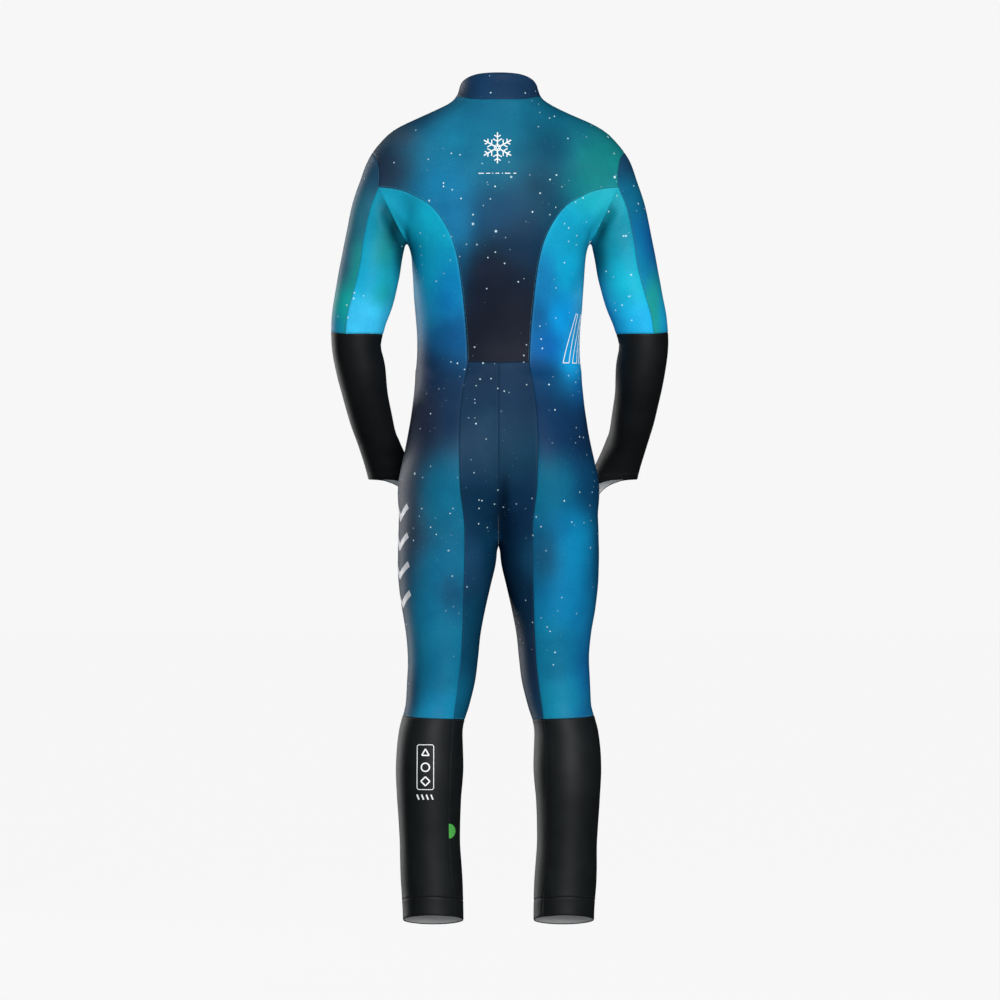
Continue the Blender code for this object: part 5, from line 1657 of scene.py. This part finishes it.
# Plain looks: how each is made, its name, its two close colours and its further numbers
PLAIN_LOOKS = (
    (plain_cloth, "black_knit", "#121618", "#161a1c", 0.58, 0.01, 0.22),
    (plain_cloth, "black_knit_arm", "#0d1012", "#111416", 0.58, 0.01, 0.20),
    (plain_cloth, "lining_knit", "#eceff1", "#f4f6f7", 0.85, 0.1, 0.2, 1.0, 0.4),
    # The light thread serves the back side seams and, above the knee, a painted sheen
    (thread_material, "thread_light_and_sheen", "#3f96ad", "#58abc0"),
    (thread_material, "thread_dark", "#16324a", "#1e4058"),
    (thread_material, "thread_black", "#1c1f22", "#2a2e31"),
    (film_material, "mark_white", "#eef2f4", "#f8fafa"),
    (film_material, "mark_pale", "#c4c8d0", "#d2d6dc"),
    (film_material, "mark_green", "#43a546", "#5cb957"),
    (metal_material, "zip_tooth_metal", "#2a2c2f", "#3a3d40", 0.45),
    (metal_material, "zip_slider_metal", "#6d7073", "#85888b", 0.30),
)


def make_looks():
    LOOKS["print_cloth"] = print_material()
    LOOKS["zip_tape_looks"] = tape_material()
    for make, name, *values in PLAIN_LOOKS:
        LOOKS[name] = make(name, *values)


# The stage: colour of ground and surroundings, their light, the floor and what the lights aim at
PALE = (0.93, 0.93, 0.93, 1.0)
WORLD_LIGHT = 0.22
FLOOR_Z = -1.62
FLOOR_REACH = 30.0
MIDDLE = (0.0, 0.0, -0.65)


def add_pair(name, node, fine, slot, pools=None, finish="print_cloth", **more):
    """The left and the right piece; the print differs, the cut doesn't."""
    grid, row_at = fine
    for side, sign in (("left", 1.0), ("right", -1.0)):
        own = pools[side] if isinstance(pools, dict) else pools
        cloth_piece(f"{name}_{side}", f"{node}_{side}", grid, sign, LOOKS[finish], slot, own,
                    row_at=row_at, **more)


def add_cloths(lines):
    """All cut pieces. Returns the coarse grids that stitching and zip are laid along."""
    back = back_grid(lines)
    front = front_grid(lines)
    seat = seat_grid(lines, back[-1])
    side = side_grid(lines)
    sleeve = sleeve_grid(lines)
    collar = collar_grid(lines)
    forearm = forearm_grid(elbow_ring(sleeve, side))
    calf = calf_grid(knee_ring(side, front, seat))
    band = band_grid(calf[-1])

    outer = [lines.back_armhole, lines.back_side]
    top = [mirrored(lines.shoulder)[::-1], mirrored(lines.neck_back)[::-1],
           lines.neck_back, lines.shoulder]
    fine, _ = refine(joined_halves(back), left=[mirrored(part) for part in outer],
                     right=outer, top=top, bottom=[mirrored(back[-1])[::-1], back[-1]])
    look = LOOKS["print_cloth"]
    cloth_piece("back_cloth", "back_panel", fine, 1.0, look, "suit_print", BACK_POOLS)
    base = [lines.neck_front, lines.neck_back[::-1]]
    base = base + [mirrored(part)[::-1] for part in base[::-1]]
    fine, _ = refine(collar, top=base)
    cloth_piece("collar_cloth", "collar", fine, 1.0, look, "suit_dark", COLLAR_POOLS)

    add_pair("front_cloth", "front_panel",
             refine(front, left=[lines.middle_front, lines.inseam],
                    right=[lines.front_armhole, lines.front_side, lines.front_thigh],
                    top=[lines.neck_front, lines.shoulder]), "suit_print", FRONT_POOLS)
    side_pools = {"left": SIDE_POOLS_LEFT, "right": SIDE_POOLS_RIGHT}
    # The under-sleeves' pools add the painted shade of the armpit fold to the print
    under_pools_with_fold_shade = {"left": SIDE_POOLS_LEFT + PAINTED_FOLD_SHADE_LEFT,
                   "right": SIDE_POOLS_RIGHT + PAINTED_FOLD_SHADE_RIGHT}
    add_pair("under_sleeve_cloth", "under_sleeve",
             refine(side[:SLEEVE_ROWS + 1], left=[lines.back_sleeve], right=[lines.front_sleeve]),
             "suit_print", under_pools_with_fold_shade, lean_to=SLEEVE_ROWS, soft_end=1)
    add_pair("side_cloth", "side_panel",
             refine(side[SLEEVE_ROWS:], left=[lines.back_side, lines.back_thigh],
                    right=[lines.front_side, lines.front_thigh]),
             "suit_print", side_pools, soft_end=0)
    add_pair("seat_cloth", "seat_panel",
             refine(seat, left=[lines.middle_seat, lines.inseam], right=[lines.back_thigh],
                    top=[back[-1]]), "suit_dark", SEAT_POOLS)
    add_pair("sleeve_cloth", "sleeve",
             refine(sleeve, left=[lines.back_sleeve[::-1]], right=[lines.front_sleeve[::-1]],
                    top=[lines.back_armhole[::-1], lines.front_armhole]),
             "suit_print", SLEEVE_POOLS, lean_to=SLEEVE_ROWS)
    add_pair("forearm_cloth", "forearm", refine(forearm, top=[side[0][::-1], sleeve[-1]]),
             "black_cloth", finish="black_knit_arm", lean_to=FOREARM_ROWS, turned=HEM_TURNED)
    add_pair("calf_cloth", "calf", refine(calf, top=[side[-1], front[-1][::-1], seat[-1]]),
             "black_cloth", finish="black_knit")
    add_pair("band_cloth", "ankle_band", refine(band), "black_cloth", finish="black_knit",
             turned=HEM_TURNED)
    return {"back": back, "front": front, "side": side, "sleeve": sleeve, "collar": collar,
            "forearm": forearm, "calf": calf}


def rise_of(line):
    """The sign that takes a row of stitching from a level seam to its upper side."""
    step = line[1] - line[0]
    return 1.0 if np.cross(unit_normals(line[:1])[0], step)[2] > 0.0 else -1.0


def both_runs(line, away, lean=False):
    """The same stitching on the left and the right of the suit."""
    line = dense(line)
    return [stitch_run(line, away, lean), stitch_run(mirrored(line), -away, lean)]


def add_stitching(lines, grids):
    a = STITCH_AWAY
    light = both_runs(lines.back_side, a) + both_runs(lines.back_side, -a)
    # The knee seam's upper row is in light thread as a painted sheen on the rolled edge above the
    # knee
    light += both_runs(grids["calf"][0], a * rise_of(dense(grids["calf"][0])))
    stitches("stitching_sides_and_knee_sheen", light, LOOKS["thread_light_and_sheen"])
    runs = []
    for line in (lines.back_thigh, lines.front_thigh, lines.inseam, lines.middle_seat):
        runs += both_runs(line, a)
    for line in (lines.back_armhole, lines.front_armhole, lines.shoulder, grids["back"][-1],
                 lines.neck_back, lines.neck_front, lines.front_side):
        runs += both_runs(line, -a)
    stitches("stitching_body", runs, LOOKS["thread_dark"])
    runs = both_runs(lines.back_sleeve, a, True) + both_runs(lines.front_sleeve, -a, True)
    stitches("stitching_sleeves", runs, LOOKS["thread_dark"])
    elbow = elbow_ring(grids["sleeve"], grids["side"])
    knee = grids["calf"][0]
    runs = both_runs(elbow, a, True) + both_runs(elbow, -a, True)
    runs += both_runs(knee, -a * rise_of(dense(knee)))
    for line in (grids["calf"][-1], grids["calf"][:, 0]):
        runs += both_runs(line, a) + both_runs(line, -a)
    hem = grids["forearm"][-1]
    away = HEM_AWAY * rise_of(dense(hem))
    runs += both_runs(hem, away, True) + both_runs(hem, away * 0.82, True)
    stitches("stitching_black", runs, LOOKS["thread_black"])


def add_zip(grids):
    """Tapes, teeth, slider and pull on the front."""
    path = dense(tape_lines(grids["collar"][:, 0], grids["front"][:, 0]), 300)
    line = add_tape("tape_looks_left", "zip_tape_left", path, 1.0)
    add_tape("tape_looks_right", "zip_tape_right", path, -1.0)
    add_teeth(line)
    add_slider(line)


def link(obj):
    bpy.context.scene.collection.objects.link(obj)
    return obj


def add_area_light(name, place, size, power):
    """A white area light turned to the middle of the suit."""
    data = bpy.data.lights.new(name, "AREA")
    data.shape = "RECTANGLE"
    data.size, data.size_y = size
    data.energy = power
    obj = link(bpy.data.objects.new(name, data))
    obj.visible_camera = False
    obj.location = place
    way = Vector(MIDDLE) - Vector(place)
    obj.rotation_euler = way.to_track_quat("-Z", "Y").to_euler()


def add_stage():
    """Pale surroundings, plain floor below the suit, soft lights and the camera behind it."""
    scene = bpy.context.scene
    scene.view_settings.view_transform = "Standard"
    scene.world = world = bpy.data.worlds.new("surroundings")
    world.use_nodes = True
    tree = world.node_tree
    seen = tree.nodes["Background"]
    put(tree, seen.inputs["Color"], PALE)
    soft = add_node(tree, "ShaderNodeBackground", {"Color": PALE, "Strength": WORLD_LIGHT})
    rays = add_node(tree, "ShaderNodeLightPath", {})
    either = add_node(tree, "ShaderNodeMixShader", {0: rays.outputs["Is Camera Ray"],
                                                    1: soft.outputs[0], 2: seen.outputs[0]})
    put(tree, tree.nodes["World Output"].inputs["Surface"], either.outputs[0])
    world.cycles_visibility.glossy = False

    mesh = bpy.data.meshes.new("floor")
    corners = ((-1, -1), (1, -1), (1, 1), (-1, 1))
    mesh.from_pydata([(FLOOR_REACH * x, FLOOR_REACH * y, FLOOR_Z) for x, y in corners], [],
                     [(0, 1, 2, 3)])
    mesh.materials.append(new_material("stage_floor", {
        "Base Color": (0.02, 0.02, 0.02, 1.0), "Roughness": 1.0, "Specular IOR Level": 0.0,
        "Emission Color": PALE, "Emission Strength": 0.99})[0])
    floor = link(bpy.data.objects.new("floor", mesh))
    floor.visible_diffuse = False
    floor.visible_glossy = False
    floor.visible_shadow = False

    add_area_light("key", (-1.3, 5.8, 0.7), (3.0, 3.0), 390.0)
    add_area_light("rim_left", (2.5, -2.6, -0.2), (0.9, 3.4), 90.0)

    data = bpy.data.cameras.new("camera")
    data.lens = 200.0
    data.sensor_width = 36.0
    data.clip_end = 100.0
    camera = link(bpy.data.objects.new("camera", data))
    camera.location = (-0.00255, 9.444, -0.680)
    camera.rotation_euler = (math.radians(90.0), 0.0, math.radians(180.0))
    scene.camera = camera


def main():
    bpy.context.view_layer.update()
    make_looks()
    lines = Lines()
    grids = add_cloths(lines)
    add_stitching(lines, grids)
    add_marks()
    add_label(dense(grids["calf"][:, 0]))
    add_zip(grids)
    add_stage()
    bpy.context.view_layer.update()


main()
